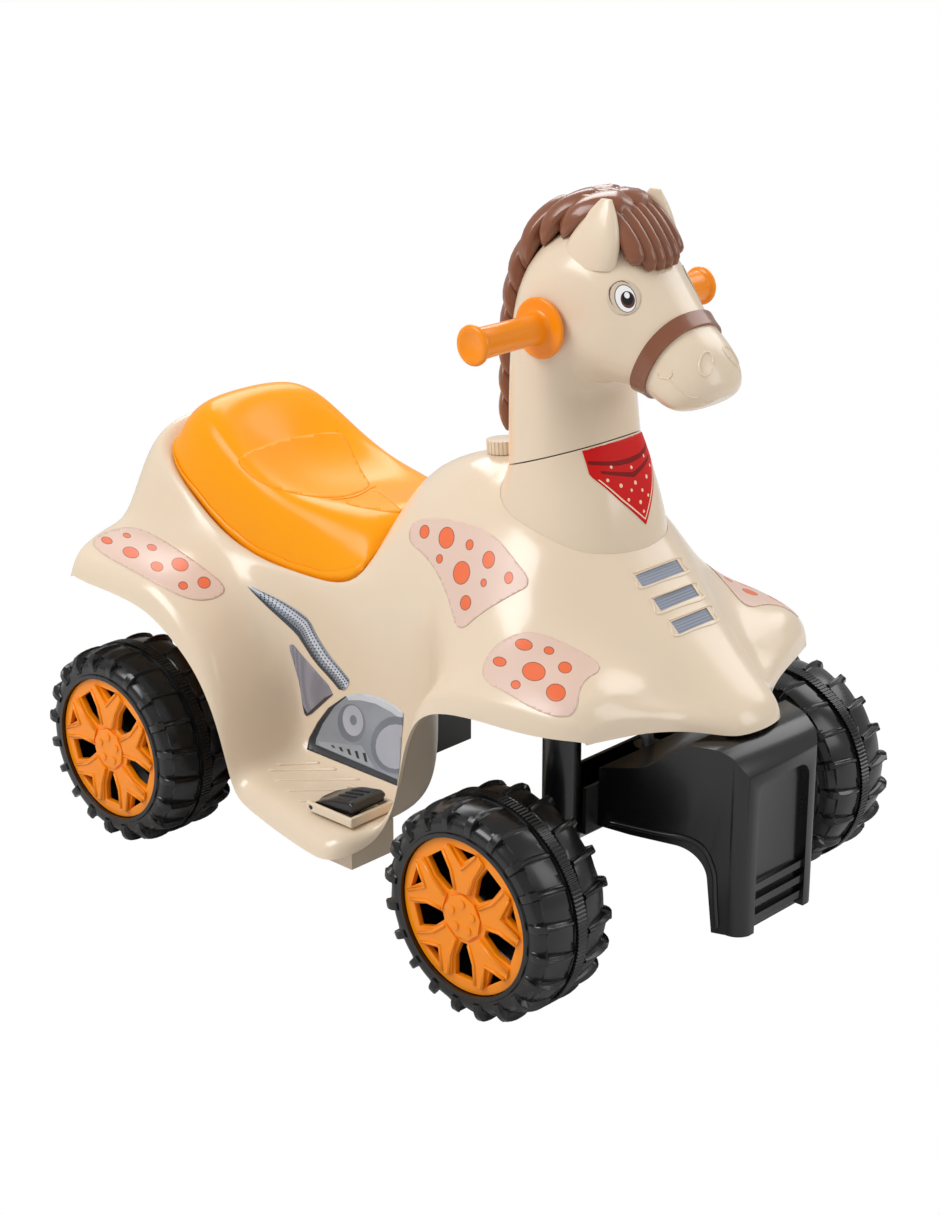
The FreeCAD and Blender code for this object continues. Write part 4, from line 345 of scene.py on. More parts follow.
def extent(outline):
    """Least and greatest x and y of an outline."""
    return (min(p.x for p in outline), max(p.x for p in outline),
            min(p.y for p in outline), max(p.y for p in outline))


def cut_sheet(outline, spacing, marks):
    """Triangles over an outline, with an ink number for each."""
    points, edges = [], []
    for loop in [outline] + [mark for mark, ink in marks]:
        first = len(points)
        for a, b in pairs(loop):
            steps = max(1, int((b - a).length / spacing))
            points += [a.lerp(b, k / steps) for k in range(steps)]
        edges += list(pairs(list(range(first, len(points)))))
    left, right, low, high = extent(outline)
    for row in range(int((high - low) / spacing) + 1):
        for column in range(int((right - left) / spacing) + 1):
            points.append(Vector((left + column * spacing, low + (row + 0.5) * spacing)))
    cut = delaunay_2d_cdt(points, edges, [], 0, MERGE_DISTANCE)
    flat, kept, inks = cut[0], [], []
    boxes = [extent(mark) for mark, ink in marks]
    for face in cut[2]:
        middle = sum((flat[i] for i in face), Vector((0, 0))) / len(face)
        if inside(middle, outline):
            near = [mark for mark, box in zip(marks, boxes)
                    if box[0] < middle.x < box[1] and box[2] < middle.y < box[3]]
            covering = [ink for mark, ink in near if inside(middle, mark)]
            kept.append(face)
            inks.append(covering[-1] if covering else 0)
    return flat, kept, inks


TRIAL_SQUARE = [(0, 0), (20, 0), (20, 20), (0, 20)]
print("triangles of a trial sheet", len(cut_sheet(rounded_outline(TRIAL_SQUARE, 1), 4.0, [])[1]))

# %% [markdown]
# A cut sheet is flat, in pixels. Each of its points is now thrown onto the moulding and lifted a little, and
# the sheet gets the thickness of foil, so that it shows an edge. What lies on the right side is made a second
# time for the left side, with its faces turned round so that they still look outward.

# %% Foil on the mouldings
FOIL_LIFT, FOIL_THICKNESS = 0.0006, 0.0004


def piece_from(name, places, faces, body, materials, inks=None, thickness=0.0, mirrored=False):
    """A new mesh piece that rides a body and, where it is mirrored, its twin on the left."""
    mesh = bpy.data.meshes.new(name)
    mesh.from_pydata(places, [], faces)
    for material in materials:
        mesh.materials.append(material)
    for face, ink in zip(mesh.polygons, inks or [0] * len(faces)):
        face.use_smooth = True
        face.material_index = ink
    piece = bpy.data.objects.new(name, mesh)
    scene.collection.objects.link(piece)
    if thickness:
        solid = piece.modifiers.new("thickness", "SOLIDIFY")
        solid.thickness = thickness
        solid.offset = -1.0
    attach(piece, body)
    if mirrored:
        piece_from(name.replace("right", "left"), [Vector((p.x, -p.y, p.z)) for p in places],
                   [face[::-1] for face in faces], body, materials, inks, thickness)
    return piece


def foil(name, corners, piece, body, materials, marks=(), mirrored=True, spacing=3.0, rounds=2,
         lift=FOIL_LIFT, finder=spot_on):
    """Printed foil cut to an outline in the picture, on the right side and, mirrored, on the left."""
    outline = rounded_outline(corners, rounds)
    flat, faces, inks = cut_sheet(outline, spacing, [([Vector(c) for c in mark], ink) for mark, ink in marks])
    found = [finder(pixel, piece) for pixel in flat]
    places = [f[0] + f[1] * lift if f else Vector() for f in found]
    sheet, sheet_inks = [], []
    for face, ink in zip(faces, inks):
        if all(found[i] for i in face):
            a, b, c = (places[i] for i in face[:3])
            front = (b - a).cross(c - a).dot(found[face[0]][1]) > 0
            sheet.append(list(face) if front else list(face)[::-1])
            sheet_inks.append(ink)
    used = sorted({i for face in sheet for i in face})
    number = {old: new for new, old in enumerate(used)}
    sheet = [[number[i] for i in face] for face in sheet]
    piece_from(name, [places[i] for i in used], sheet, body, materials, sheet_inks, FOIL_THICKNESS, mirrored)
    print(name, "points", len(used), "faces", len(sheet))


print("foil", FOIL_THICKNESS, "m thick")

# %% [markdown]
# Moulded lines, such as the ribs of a footboard or the edge of a nostril, are beads on the surface. A
# round tube that follows the moulding and sinks half into it looks the same as a raised mould line, and
# works on any curved piece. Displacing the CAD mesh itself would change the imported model.

# %% Beads


def catmull(points, share):
    """Point at a share of a smooth curve through the points."""
    last = len(points) - 1
    spot = min(max(share, 0.0), 1.0) * last
    k = min(int(spot), last - 1)
    t = spot - k
    a, b = points[k], points[k + 1]
    before = points[k - 1] if k > 0 else a * 2 - b
    after = points[k + 2] if k + 2 <= last else b * 2 - a
    return (a * 2 + (b - before) * t + (before * 2 - a * 5 + b * 4 - after) * t ** 2
            + (a * 3 - before - b * 3 + after) * t ** 3) * 0.5


def ring_faces(rings, count, closed=False):
    """Faces between neighbouring rings of count points; closed joins the last ring to the first."""
    faces = []
    for j in range(rings if closed else rings - 1):
        i = (j + 1) % rings
        for k in range(count):
            m = (k + 1) % count
            faces.append([j * count + k, j * count + m, i * count + m, i * count + k])
    return faces


def tube(path, ups, halves, count=10, groove=0.0, lobes=0):
    """Rings and faces of a strand along a path; halves gives its half width and half height at each place."""
    places = []
    for k, (spot, up, (wide, high)) in enumerate(zip(path, ups, halves)):
        along = (path[min(k + 1, len(path) - 1)] - path[max(k - 1, 0)]).normalized()
        side = along.cross(up).normalized()
        rise = side.cross(along).normalized()
        for j in range(count):
            turn = 2 * math.pi * j / count
            swell = 1 + groove * math.cos(lobes * turn)
            across, above = wide * swell * math.cos(turn), high * swell * math.sin(turn)
            places.append(spot + side * across + rise * above)
    ends = [list(range(count))[::-1], list(range(len(places) - count, len(places)))]
    return places, ring_faces(len(path), count) + ends


END_SHARE = 0.3


def bead(name, pixels, piece, body, material, radius, closed=False, mirrored=True, count=24):
    """A raised mould line through points of the picture, on the right side and, mirrored, on the left."""
    points = [Vector(p) for p in pixels]
    points = points + points[:1] if closed else points
    found = [spot_on(catmull(points, k / (count - 1)), piece) for k in range(count)]
    found = [f for f in found if f]
    sizes = [(radius, radius)] * len(found)
    if not closed:
        sizes[0] = sizes[-1] = (radius * END_SHARE, radius * END_SHARE)
    places, faces = tube([f[0] for f in found], [f[1] for f in found], sizes)
    piece_from(name, places, faces, body, [material], mirrored=mirrored)
    print(name, "length", round(sum((b[0] - a[0]).length for a, b in zip(found, found[1:])), 3), "m")


print("beads narrow to", END_SHARE, "at their ends")

# %% [markdown]
# The fenders and the tank's flanks carry a pale pink sheet with round orange spots, each with a thin dark
# rim. Spots of several sizes are listed one by one, in a loose row on every sheet, so that no two sheets look
# stamped. A cell texture would fill the sheet too evenly.

# %% Spotted sheets
SPOT_INKS = [moulded(name, colour, patch=patch) for name, colour, patch in (
    ("pink_ink", (226, 196, 180), 0.03), ("rim_ink", (150, 84, 66), 0.04),
    ("orange_ink", (238, 112, 66), 0.05))]
RIM_WIDTH = 0.8
BODY = ("body_shell", "chassis")


def oval(centre, across, along, tilt=0.0, count=20):
    """Corner points of an oval in the picture."""
    c, s = math.cos(math.radians(tilt)), math.sin(math.radians(tilt))
    points = []
    for k in range(count):
        u = across * math.cos(2 * math.pi * k / count)
        v = along * math.sin(2 * math.pi * k / count)
        points.append((centre[0] + u * c - v * s, centre[1] + u * s + v * c))
    return points


def spots(places, tilt):
    """Marks for round spots: centre, half width and half height of each."""
    marks = []
    for centre, across, along in places:
        marks.append((oval(centre, across, along, tilt), 1))
        marks.append((oval(centre, across - RIM_WIDTH, along - RIM_WIDTH, tilt), 2))
    return marks


TANK_PATCH = [(413, 520), (440, 518), (470, 523), (497, 537), (512, 556), (534, 584), (510, 596), (480, 614),
              (458, 634), (450, 603), (440, 577), (426, 556), (407, 541)]
TANK_SPOTS = [((425, 532), 5.0, 7.0), ((447, 538), 8.0, 11.0), ((440, 559), 3.4, 4.8), ((470, 545), 4.0, 5.6),
              ((462, 573), 8.6, 12.0), ((489, 560), 6.4, 9.0), ((484, 583), 3.2, 4.4), ((466, 603), 5.6, 7.8),
              ((509, 578), 4.6, 6.4)]
REAR_PATCH = [(90, 541), (112, 529), (138, 527), (165, 541), (200, 565), (229, 588), (215, 600), (190, 601),
              (160, 586), (125, 567), (100, 553)]
REAR_SPOTS = [((107, 541), 6.0, 3.6), ((127, 536), 4.2, 2.6), ((131, 553), 8.6, 5.6), ((152, 548), 5.2, 3.4),
              ((157, 567), 6.6, 5.0), ((180, 565), 8.8, 6.8), ((183, 586), 5.0, 4.2), ((204, 583), 6.8, 6.0)]
FRONT_PATCH = [(484, 660), (500, 641), (527, 630), (560, 640), (608, 667), (580, 682), (577, 713), (560, 719),
               (530, 708), (505, 692), (482, 680)]
FRONT_SPOTS = [((500, 662), 7.0, 5.0), ((524, 645), 9.0, 6.0), ((549, 651), 5.4, 4.2),
               ((534, 672), 12.0, 9.6), ((565, 668), 7.0, 6.0), ((556, 693), 10.0, 9.0),
               ((516, 685), 5.0, 4.6)]
for name, patch, places, tilt in (("tank", TANK_PATCH, TANK_SPOTS, 8), ("rear", REAR_PATCH, REAR_SPOTS, 18),
                                  ("front", FRONT_PATCH, FRONT_SPOTS, 12)):
    foil(name + "_patch_right", patch, *BODY, SPOT_INKS, spots(places, tilt))

# %% [markdown]
# On each flank, above the footboard, a silver print suggests an engine: a half-round cover with a bright
# arch, ringed discs, a finned plate and a dark sill. It is all flat ink, so it is one sheet with marks.

# %% Engine print
SILVER_METAL = 0.15


def silvered(name, dark, light, scale):
    """Silver ink with a soft cloudy sheen."""
    material = moulded(name, light, strength=0.03)
    tree = material.node_tree
    tint = [n for n in tree.nodes if n.type == "MIX"][0]
    tint.inputs[6].default_value = linear(dark)
    tint.inputs[7].default_value = linear(light)
    set_sockets([n for n in tree.nodes if n.type == "TEX_NOISE"][0], Scale=scale)
    set_sockets(tree.nodes["Principled BSDF"], Metallic=SILVER_METAL)
    return material


ENGINE_INKS = [silvered(*ink) for ink in (
    ("mid_silver", (118, 124, 134), (168, 173, 182), 24), ("sill_ink", (34, 36, 40), (58, 61, 66), 30),
    ("arch_silver", (178, 184, 194), (226, 229, 236), 22),
    ("disc_ring", (104, 110, 120), (136, 142, 152), 26), ("disc_face", (164, 168, 180), (196, 199, 210), 18),
    ("plate_ink", (136, 140, 148), (184, 188, 196), 28))]
ENGINE = [(307, 749.5), (309.4, 738), (318, 722), (328.4, 708), (345.6, 696), (361, 693), (377, 696),
          (394, 704.7), (404, 713.3), (402.4, 732), (400, 767), (397.3, 786), (350, 767)]
SILL = [(305, 749.5), (397.3, 788), (397.8, 779.5), (316, 744.5), (316.5, 739), (323, 724), (335, 706.5),
        (347, 696.5), (340, 694), (326, 706), (316, 720), (307, 738)]
ARCH = [(346, 695), (361, 692), (377, 695), (394, 703.5), (405, 712.5), (404, 722), (392, 712), (376, 703.5),
        (361, 700), (349, 700)]
PLATE = [(318, 741.5), (362, 745.5), (375, 768.5), (321, 746)]
FIN_COUNT = 5
FIN_FIRST, FIN_STEP, FIN_GROWTH = (331.0, 745.0), (8.0, 1.9), 1.6
engine_marks = [(ARCH, 2), (oval((352, 723), 14.0, 19.5, -8), 3), (oval((353.4, 720.5), 10.2, 15.6, -8), 4),
                (oval((353.8, 720), 3.4, 5.2, -8), 3), (oval((396, 745), 25.0, 29.0), 3),
                (oval((396, 746.5), 20.0, 22.5), 4), (SILL, 1), (PLATE, 5)]
for k in range(FIN_COUNT):
    x, y = (FIN_FIRST[i] + FIN_STEP[i] * k for i in (0, 1))
    longer = FIN_GROWTH * k
    fin = [(x, y), (x + 3.0, y + 0.3), (x + 5.0, y + 3.6 + longer), (x + 2.2, y + 2.6 + longer)]
    engine_marks.append((fin, 1))
foil("engine_print_right", ENGINE, *BODY, ENGINE_INKS, engine_marks, spacing=2.5, rounds=0)

# %% [markdown]
# Beside it lie a triangle of fine grey mesh and a perforated silver strip that runs down from the seat.
# The mesh is too fine to cut, so an even cell texture prints it; a band of painted shade lies along its lower
# edge.
# The strip's holes are large enough to be marks of their own, in staggered rows that follow its bend. Its
# three grounds are lit and shaded copies of one silver: a mid ground, a lane of painted highlight and a lane
# of painted shade along its lower side, which make the flat foil look like a rounded guard.

# %% Mesh print and perforated strip
HOLE_EDGE = 0.08


def woven(name, scale, hole, ground, size):
    """Foil printed with a fine even mesh."""
    material = moulded(name, ground, patch=0.02)
    tree = material.node_tree
    place = [n for n in tree.nodes if n.type == "TEX_COORD"][0]
    cells = new_node(tree, "TexVoronoi", Scale=scale, Randomness=0.0)
    ramp = new_node(tree, "ValToRGB")
    for stop, position, colour in zip(ramp.color_ramp.elements, (size, size + HOLE_EDGE), (hole, ground)):
        stop.position = position
        stop.color = linear(colour)
    wire(tree, (place, "Object", cells, "Vector"), (cells, "Distance", ramp, "Fac"),
         (ramp, "Color", tree.nodes["Principled BSDF"], "Base Color"))
    return material


# The second mesh ink is painted shade: a darker band along the triangle's lower edge.
MESH_INKS = [woven("mesh_ink", 640.0, (104, 102, 112), (148, 146, 156), 0.34),
             moulded("mesh_painted_shade", (66, 64, 70), 0.36)]
# The strip's light and dark inks are painted highlight and painted shade on its mid silver.
STRIP_INKS = [silvered(name, dark, light, 40) for name, dark, light in (
    ("strip_mid", (128, 136, 150), (160, 168, 180)), ("strip_painted_highlight", (196, 203, 218), (222, 227, 238)),
    ("strip_painted_shade", (60, 66, 74), (88, 94, 102)))] + [moulded("strip_hole", (34, 38, 48), 0.36)]
MESH_TRIANGLE = [(288.7, 645.3), (293, 644), (297.4, 649.6), (309.4, 663.4), (335.2, 692.6), (326.6, 700.4),
                 (307.7, 717.6), (303.4, 711.6), (299.9, 684), (293.9, 663.4)]
# Band of painted shade along the lower edge of the mesh triangle.
TRIANGLE_PAINTED_SHADE = [(335.2, 692.6), (326.6, 700.4), (307.7, 717.6), (303.4, 711.6), (302.4, 704), (308, 713),
                  (325, 697.5)]
STRIP_UPPER = [(249, 585.6), (278.4, 598.8), (297.4, 610), (309.4, 619.4), (316.3, 634), (328.4, 653.9),
               (342, 670), (351.6, 682.3)]
STRIP_LOWER = [(247.4, 587.2), (265, 605), (283, 621), (297, 634), (304, 645), (315, 662), (330, 678),
               (342, 693)]
upper_edge, lower_edge = ([Vector(p) for p in edge] for edge in (STRIP_UPPER, STRIP_LOWER))


def lane(start, end):
    """Outline of a lane along the strip between two shares of its width."""
    sides = [[a.lerp(b, share) for a, b in zip(upper_edge, lower_edge)] for share in (start, end)]
    return sides[0] + sides[1][::-1]


# Lanes of painted highlight and painted shade, as shares of the strip's width from its upper edge.
STRIP_HIGHLIGHT_LANE, STRIP_SHADE_LANE = (0.18, 0.52), (0.76, 1.02)
HOLE_COLUMNS, HOLE_ROWS, HOLE_RADIUS, HOLE_SIDES = 40, 5, 0.85, 6
holes = []
for column in range(1, HOLE_COLUMNS):
    for row in range(HOLE_ROWS):
        along = (column + 0.5 * (row % 2)) / (HOLE_COLUMNS + 0.5)
        above, below = catmull(upper_edge, along), catmull(lower_edge, along)
        if (above - below).length > HOLE_ROWS * 2 * HOLE_RADIUS:
            spot = above.lerp(below, (row + 0.6) / (HOLE_ROWS + 0.2))
            holes.append((oval(spot, HOLE_RADIUS, HOLE_RADIUS, 0, HOLE_SIDES), 3))
print("strip holes", len(holes))
foil("mesh_triangle_right", MESH_TRIANGLE, *BODY, MESH_INKS, [(TRIANGLE_PAINTED_SHADE, 1)], rounds=1)
# The strip's lanes of painted highlight and painted shade, with its holes on top.
shading_lanes = [(lane(*STRIP_HIGHLIGHT_LANE), 1), (lane(*STRIP_SHADE_LANE), 2)]
foil("strip_right", lane(0.0, 1.0), *BODY, STRIP_INKS, shading_lanes + holes, rounds=1)

# %% [markdown]
# The horse's eye is an oval of printed foil on the cheek: a pale ring, a thin brown lid line, the white, a
# brown iris with a black pupil and one light. The lid line is a brown oval that the next, shifted oval
# covers except on one side, which leaves a line that tapers at both ends.

# %% Eyes
EYE_INKS = [moulded(name, colour, roughness, patch=patch) for name, colour, roughness, patch in (
    ("eye_ring", (214, 196, 174), 0.3, 0.02), ("lid_ink", (112, 80, 64), 0.3, 0.02),
    ("eye_white", (244, 244, 246), 0.2, 0.01), ("iris_ink", (92, 54, 40), 0.2, 0.04),
    ("pupil_ink", (18, 14, 14), 0.18, 0.02))]
EYE_TILT = -20
EYE = oval((623.8, 297.9), 16.9, 17.6, EYE_TILT)
EYE_MARKS = (((621.6, 295.6), 12.6, 15.8, 1), ((622.9, 297.0), 12.4, 15.6, 0),
             ((625.4, 298.6), 10.6, 14.6, 1), ((625.5, 298.7), 9.7, 13.7, 2), ((627.8, 299.8), 7.0, 8.8, 3),
             ((627.4, 298.6), 5.6, 6.8, 4), ((626.9, 295.4), 2.6, 3.3, 2))
eye_marks = [(oval(centre, across, along, EYE_TILT), ink) for centre, across, along, ink in EYE_MARKS]
foil("eye_right", EYE, "head_right_half", "steering", EYE_INKS, eye_marks, spacing=2.0, rounds=0)

# %% [markdown]
# A red neckerchief is printed on the front of the collar: two dark folds below the neck, small pale dots
# and a pale hem. It is drawn as seen from straight ahead, in millimetres to the left and up, and thrown onto
# the collar from there, because a ray from the photograph's side would only graze its left half.

# %% Neckerchief
CLOTH = {"roughness": 0.55, "strength": 0.03, "shine": 0.2}
KERCHIEF_INKS = [moulded(name, colour, patch=patch, **CLOTH) for name, colour, patch in (
    ("kerchief_red", (208, 16, 14), 0.06), ("kerchief_fold", (128, 6, 8), 0.06),
    ("kerchief_pale", (246, 214, 186), 0.03))]
AHEAD = 1.0
RIM_LOOK = (0.470, 0.430, 0.0005)
RIM_FACING, RIM_MARGIN = 0.5, 1.2


def spot_ahead(point, piece):
    """Spot where a ray from straight ahead meets a CAD piece."""
    return struck(piece, Vector((AHEAD, point[0] / 1000, point[1] / 1000)), Vector((-1, 0, 0)))


def rim_height(left):
    """Height in millimetres of the collar's upper edge at a place to the left."""
    height, bottom, step = RIM_LOOK
    while height > bottom:
        seen = spot_ahead((left, height * 1000), "neck_collar")
        if seen and seen[1].x > RIM_FACING:
            return height * 1000 - RIM_MARGIN
        height -= step
    return bottom * 1000


KERCHIEF_TOP = range(46, -41, -2)
KERCHIEF_LOW = [(-40.5, 438.0), (-39.0, 435.0), (-20.0, 413.0), (6.0, 387.0), (28.0, 413.0), (45.0, 435.0),
                (46.5, 438.0)]
KERCHIEF = KERCHIEF_LOW + [(left, rim_height(left)) for left in KERCHIEF_TOP]
FOLDS = [[(-39, 449), (-14, 445.5), (3, 445), (20, 445.5), (45, 449), (45, 446), (20, 441.5), (3, 440.5),
          (-14, 441.5), (-39, 446)],
         [(-31, 440), (3, 433), (37, 440), (37, 437.5), (3, 428.5), (-31, 437.5)]]
HEMS = [[(-35.5, 433), (-17.5, 412.5), (6, 391), (6, 392.6), (-16.5, 413.7), (-34, 433)],
        [(41.5, 433), (25.5, 412.5), (6, 391), (6, 392.6), (24.5, 413.7), (40, 433)]]
DOTS = [((-27, 431.5), 1.5), ((-15, 425), 1.8), ((-4, 419), 1.4), ((3, 424), 1.8), ((10, 416), 1.5),
        ((21, 425), 1.8), ((33, 431.5), 1.5), ((-10, 412), 1.5), ((4, 407), 1.8), ((17, 410), 1.4),
        ((6, 398.5), 1.4), ((-20, 441.5), 1.4), ((26, 441.5), 1.4), ((3, 437), 1.5)]
kerchief_marks = [(fold, 1) for fold in FOLDS] + [(hem, 2) for hem in HEMS]
kerchief_marks += [(oval(centre, size, size, 0, 12), 2) for centre, size in DOTS]
foil("kerchief", KERCHIEF, "neck_collar", "chassis", KERCHIEF_INKS, kerchief_marks, mirrored=False,
     spacing=2.0, rounds=0, finder=spot_ahead)
print("collar edge in the middle", round(rim_height(0), 1), "mm up")

# %% [markdown]
# The mane is one glossy brown moulding of thick, smooth locks: a row that curls down both sides of the neck
# and a forelock that falls between the ears. Hair strands would look like real hair, which this isn't, so
# each lock is a swept, tapering tube with soft grooves. Its path is dropped onto the head from above the
# crest, so that the locks sit on the skull whatever its shape.

# %% Crest of the neck
CREST = [Vector((x, 0.0, z)) for x, z in (
    (0.085, 0.458), (0.086, 0.493), (0.0875, 0.5255), (0.091, 0.5605), (0.0985, 0.593), (0.1125, 0.622),
    (0.1335, 0.643), (0.1585, 0.655), (0.1835, 0.6535), (0.205, 0.643), (0.222, 0.6285), (0.234, 0.6165))]
CREST_STEP = 0.02
CREST_HEIGHT = 0.08


def on_skull(share, across, lift):
    """Place on the head at a share of the crest, some way aside and up by a lift; and its up direction."""
    ahead = catmull(CREST, share + CREST_STEP) - catmull(CREST, share - CREST_STEP)
    out = Vector((-ahead.z, 0, ahead.x)).normalized()
    half = "head_right_half" if across <= 0 else "head_left_half"
    crest = catmull(CREST, share)
    aside = Vector((0, across, 0))
    found = struck(half, crest + out * CREST_HEIGHT + aside, -out)
    if found is None:
        hit, normal = skin_of(half).find_nearest(crest + aside)[:2]
        found = hit, normal if normal.dot(out) > 0 else -normal
    up = (found[1] + out).normalized()
    return found[0] + up * lift, up


MIDLINE = -0.0001
CREST_LOOKS = (0.05, 0.3, 0.6, 0.9)
gaps = [(on_skull(share, MIDLINE, 0)[0] - catmull(CREST, share)).length for share in CREST_LOOKS]
print("crest to skull", [round(gap, 4) for gap in gaps], "m")

# %% [markdown]
# A lock starts full at its root and narrows towards its tip. The section has a few soft ridges, which is how
# the mould draws strands. Every lock is given by a handful of places: share of the crest, distance to the
# side and height above the head.

# %% Locks
LOCK_STEPS, LOCK_RING = 16, 20
ROOT_FULL, ROOT_RUN, TIP_POWER = 0.55, 0.2, 0.7
lock_places, lock_faces = [], []


def join(places, faces, more_places, more_faces):
    """Adds one mesh to the lists of another."""
    faces += [[len(places) + i for i in face] for face in more_faces]
    places += more_places


def lock(stations, half_width, half_height, lobes=6, groove=0.05, blunt=4.5, tip=0.08):
    """Adds one lock through the stations; a high blunt value keeps it full nearly to its tip."""
    marks = [Vector(s) for s in stations]
    path, ups, halves = [], [], []
    for k in range(LOCK_STEPS):
        run = k / (LOCK_STEPS - 1)
        spot, up = on_skull(*catmull(marks, run))
        root = ROOT_FULL + (1 - ROOT_FULL) * min(1.0, run / ROOT_RUN)
        fullness = max(tip, root * (1 - run ** blunt) ** TIP_POWER)
        path.append(spot)
        ups.append(up)
        halves.append((half_width * fullness, half_height * fullness))
    join(lock_places, lock_faces, *tube(path, ups, halves, LOCK_RING, groove, lobes))


def side_locks(count, first, span, stations, tip, half_width, half_height, small=1.0):
    """A row of locks down both sides of the crest, small at its first lock; stations count from each lock."""
    for k in range(count):
        share = first + span * k / (count - 1)
        swell = small + (1 - small) * k / (count - 1)
        for side in (-1, 1):
            lock([(share + s, side * across, lift * swell) for s, across, lift in stations]
                 + [(share + tip[0], side * tip[1], tip[2])], half_width * swell, half_height * swell)


NECK_LOCKS, CROWN_LOCKS = 7, 3
NECK_STATIONS = ((0.085, 0.003, 0.010), (0.04, 0.016, 0.012), (-0.015, 0.029, 0.010))
CROWN_STATIONS = ((0.10, 0.001, 0.015), (0.055, 0.013, 0.016), (-0.005, 0.028, 0.012))
NECK_TIP, CROWN_TIP = (-0.07, 0.036, 0.001), (-0.055, 0.041, 0.002)
NECK_SPAN, NECK_HALVES, NECK_SMALL = (0.06, 0.42), (0.0165, 0.0105), 0.72
CROWN_SPAN, CROWN_HALVES = (0.49, 0.17), (0.0185, 0.0115)
side_locks(NECK_LOCKS, *NECK_SPAN, NECK_STATIONS, NECK_TIP, *NECK_HALVES, NECK_SMALL)
side_locks(CROWN_LOCKS, *CROWN_SPAN, CROWN_STATIONS, CROWN_TIP, *CROWN_HALVES)
FORELOCK_LANES = (-0.0245, -0.0147, -0.0049, 0.0049, 0.0147, 0.0245)
FORELOCK_TIPS = (0.925, 0.975, 0.985, 0.985, 0.975, 0.925)
FORELOCK_STATIONS = ((0.52, 0.4, 0.012), (0.64, 0.75, 0.016), (0.76, 0.95, 0.013), (0.88, 1.0, 0.007))
FORELOCK_HALVES = (0.0086, 0.0092)
for aside, tip in zip(FORELOCK_LANES, FORELOCK_TIPS):
    stations = FORELOCK_STATIONS + ((tip, 1.02, 0.003),)
    lock([(share, aside * across, lift) for share, across, lift in stations], *FORELOCK_HALVES, lobes=4,
         blunt=14, tip=0.3)
CREST_STATIONS = ((0.0, 0.002), (0.2, 0.008), (0.4, 0.008), (0.6, 0.008), (0.75, 0.008), (0.9, 0.001))
CREST_HALVES = (0.026, 0.012)
lock([(share, MIDLINE, lift) for share, lift in CREST_STATIONS], *CREST_HALVES, lobes=8, groove=0.02)
mane = piece_from("mane_locks", lock_places, lock_faces, "steering", [brown])
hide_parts("mane")
print("locks", 2 * NECK_LOCKS + 2 * CROWN_LOCKS + len(FORELOCK_LANES) + 1, "faces", len(lock_faces))

# %% [markdown]
# The noseband is a narrow strap round the muzzle. The CAD strap is wider than the one in the picture, so a
# copy of it is trimmed by two planes across the muzzle and closed again, which keeps its fit on the head.
# The planes stand square to the muzzle: the strap's points spread least in that direction.

# %% Noseband
BAND_BACK_SHARE, BAND_FRONT_SHARE = 0.16, 0.74


def thin_direction(points):
    """Direction in which a cloud of points spreads least."""
    cloud = numpy.array([list(p) for p in points])
    vectors = numpy.linalg.eigh(numpy.cov((cloud - cloud.mean(axis=0)).T))[1]
    return Vector([float(x) for x in vectors[:, 0]])


strap = bmesh.new()
strap.from_mesh(nodes["noseband"].data)
bmesh.ops.remove_doubles(strap, verts=strap.verts, dist=WELD_REACH)
muzzle = thin_direction([v.co for v in strap.verts])
muzzle = muzzle if muzzle.x > 0 else -muzzle
reaches = [v.co.dot(muzzle) for v in strap.verts]
for reach, outward in ((BAND_BACK_SHARE, -1), (BAND_FRONT_SHARE, 1)):
    level = min(reaches) + reach * (max(reaches) - min(reaches))
    everything = strap.verts[:] + strap.edges[:] + strap.faces[:]
    bmesh.ops.bisect_plane(strap, geom=everything, plane_co=muzzle * level, plane_no=muzzle * outward,
                           clear_outer=True)
    bmesh.ops.bridge_loops(strap, edges=[edge for edge in strap.edges if edge.is_boundary])
strap.verts.index_update()
strap_faces = [[v.index for v in face.verts] for face in strap.faces]
noseband = piece_from("noseband_strap", [v.co.copy() for v in strap.verts], strap_faces, "steering", [brown])
strap.free()
sharp_edges(noseband)
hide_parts("noseband")
print("strap faces", len(strap_faces), "across", [round(x, 2) for x in muzzle])

# %% [markdown]
# The face has a raised ring round each nostril and a fine smiling mouth line. Both are mould lines, so they
# are beads in the head's own plastic.

# %% Nostrils and mouth
NOSTRIL_RADIUS, MOUTH_RADIUS = 0.0010, 0.0009
NOSTRIL = oval((706, 363.9), 6.9, 12.3, 6, 14)
MOUTH = [(657, 372.5), (660, 377.5), (668.4, 379.2), (680.3, 390.1), (690.2, 397), (700, 397.5)]
MOUTH_CORNER = [(668.4, 379.2), (672, 374), (670, 369.5)]
HEAD = ("head_right_half", "steering", cream)
bead("nostril_right", NOSTRIL, *HEAD, NOSTRIL_RADIUS, closed=True, count=30)
bead("mouth_right", MOUTH, *HEAD, MOUTH_RADIUS)
bead("mouth_corner_right", MOUTH_CORNER, *HEAD, MOUTH_RADIUS, count=10)

# %% [markdown]
# The footboards have low slanted ribs against slipping. Each rib is a bead between two points of the
# picture, with its ends tapered into the board, and the left board has the mirror of the right one's ribs.

# %% Footboard ribs
RIB_RADIUS = 0.0018
FOOT_RIBS = (((277, 765), (320, 763)), ((268, 770.5), (337, 769.5)), ((274, 780.5), (360, 779.5)),
             ((285, 791), (347, 790)), ((297, 801.5), (323, 801)))
for k, (start, end) in enumerate(FOOT_RIBS):
    middle = ((start[0] + end[0]) / 2, (start[1] + end[1]) / 2)
    bead("foot_rib_%d_right" % k, [start, middle, end], *BODY, cream, RIB_RADIUS)

# %% [markdown]
# Each air slot on the hood has a raised frame, and behind it lies a blue-grey mesh. The slot's middle and
# its two half sides were read off the picture; the frame is a closed bead a little outside them.

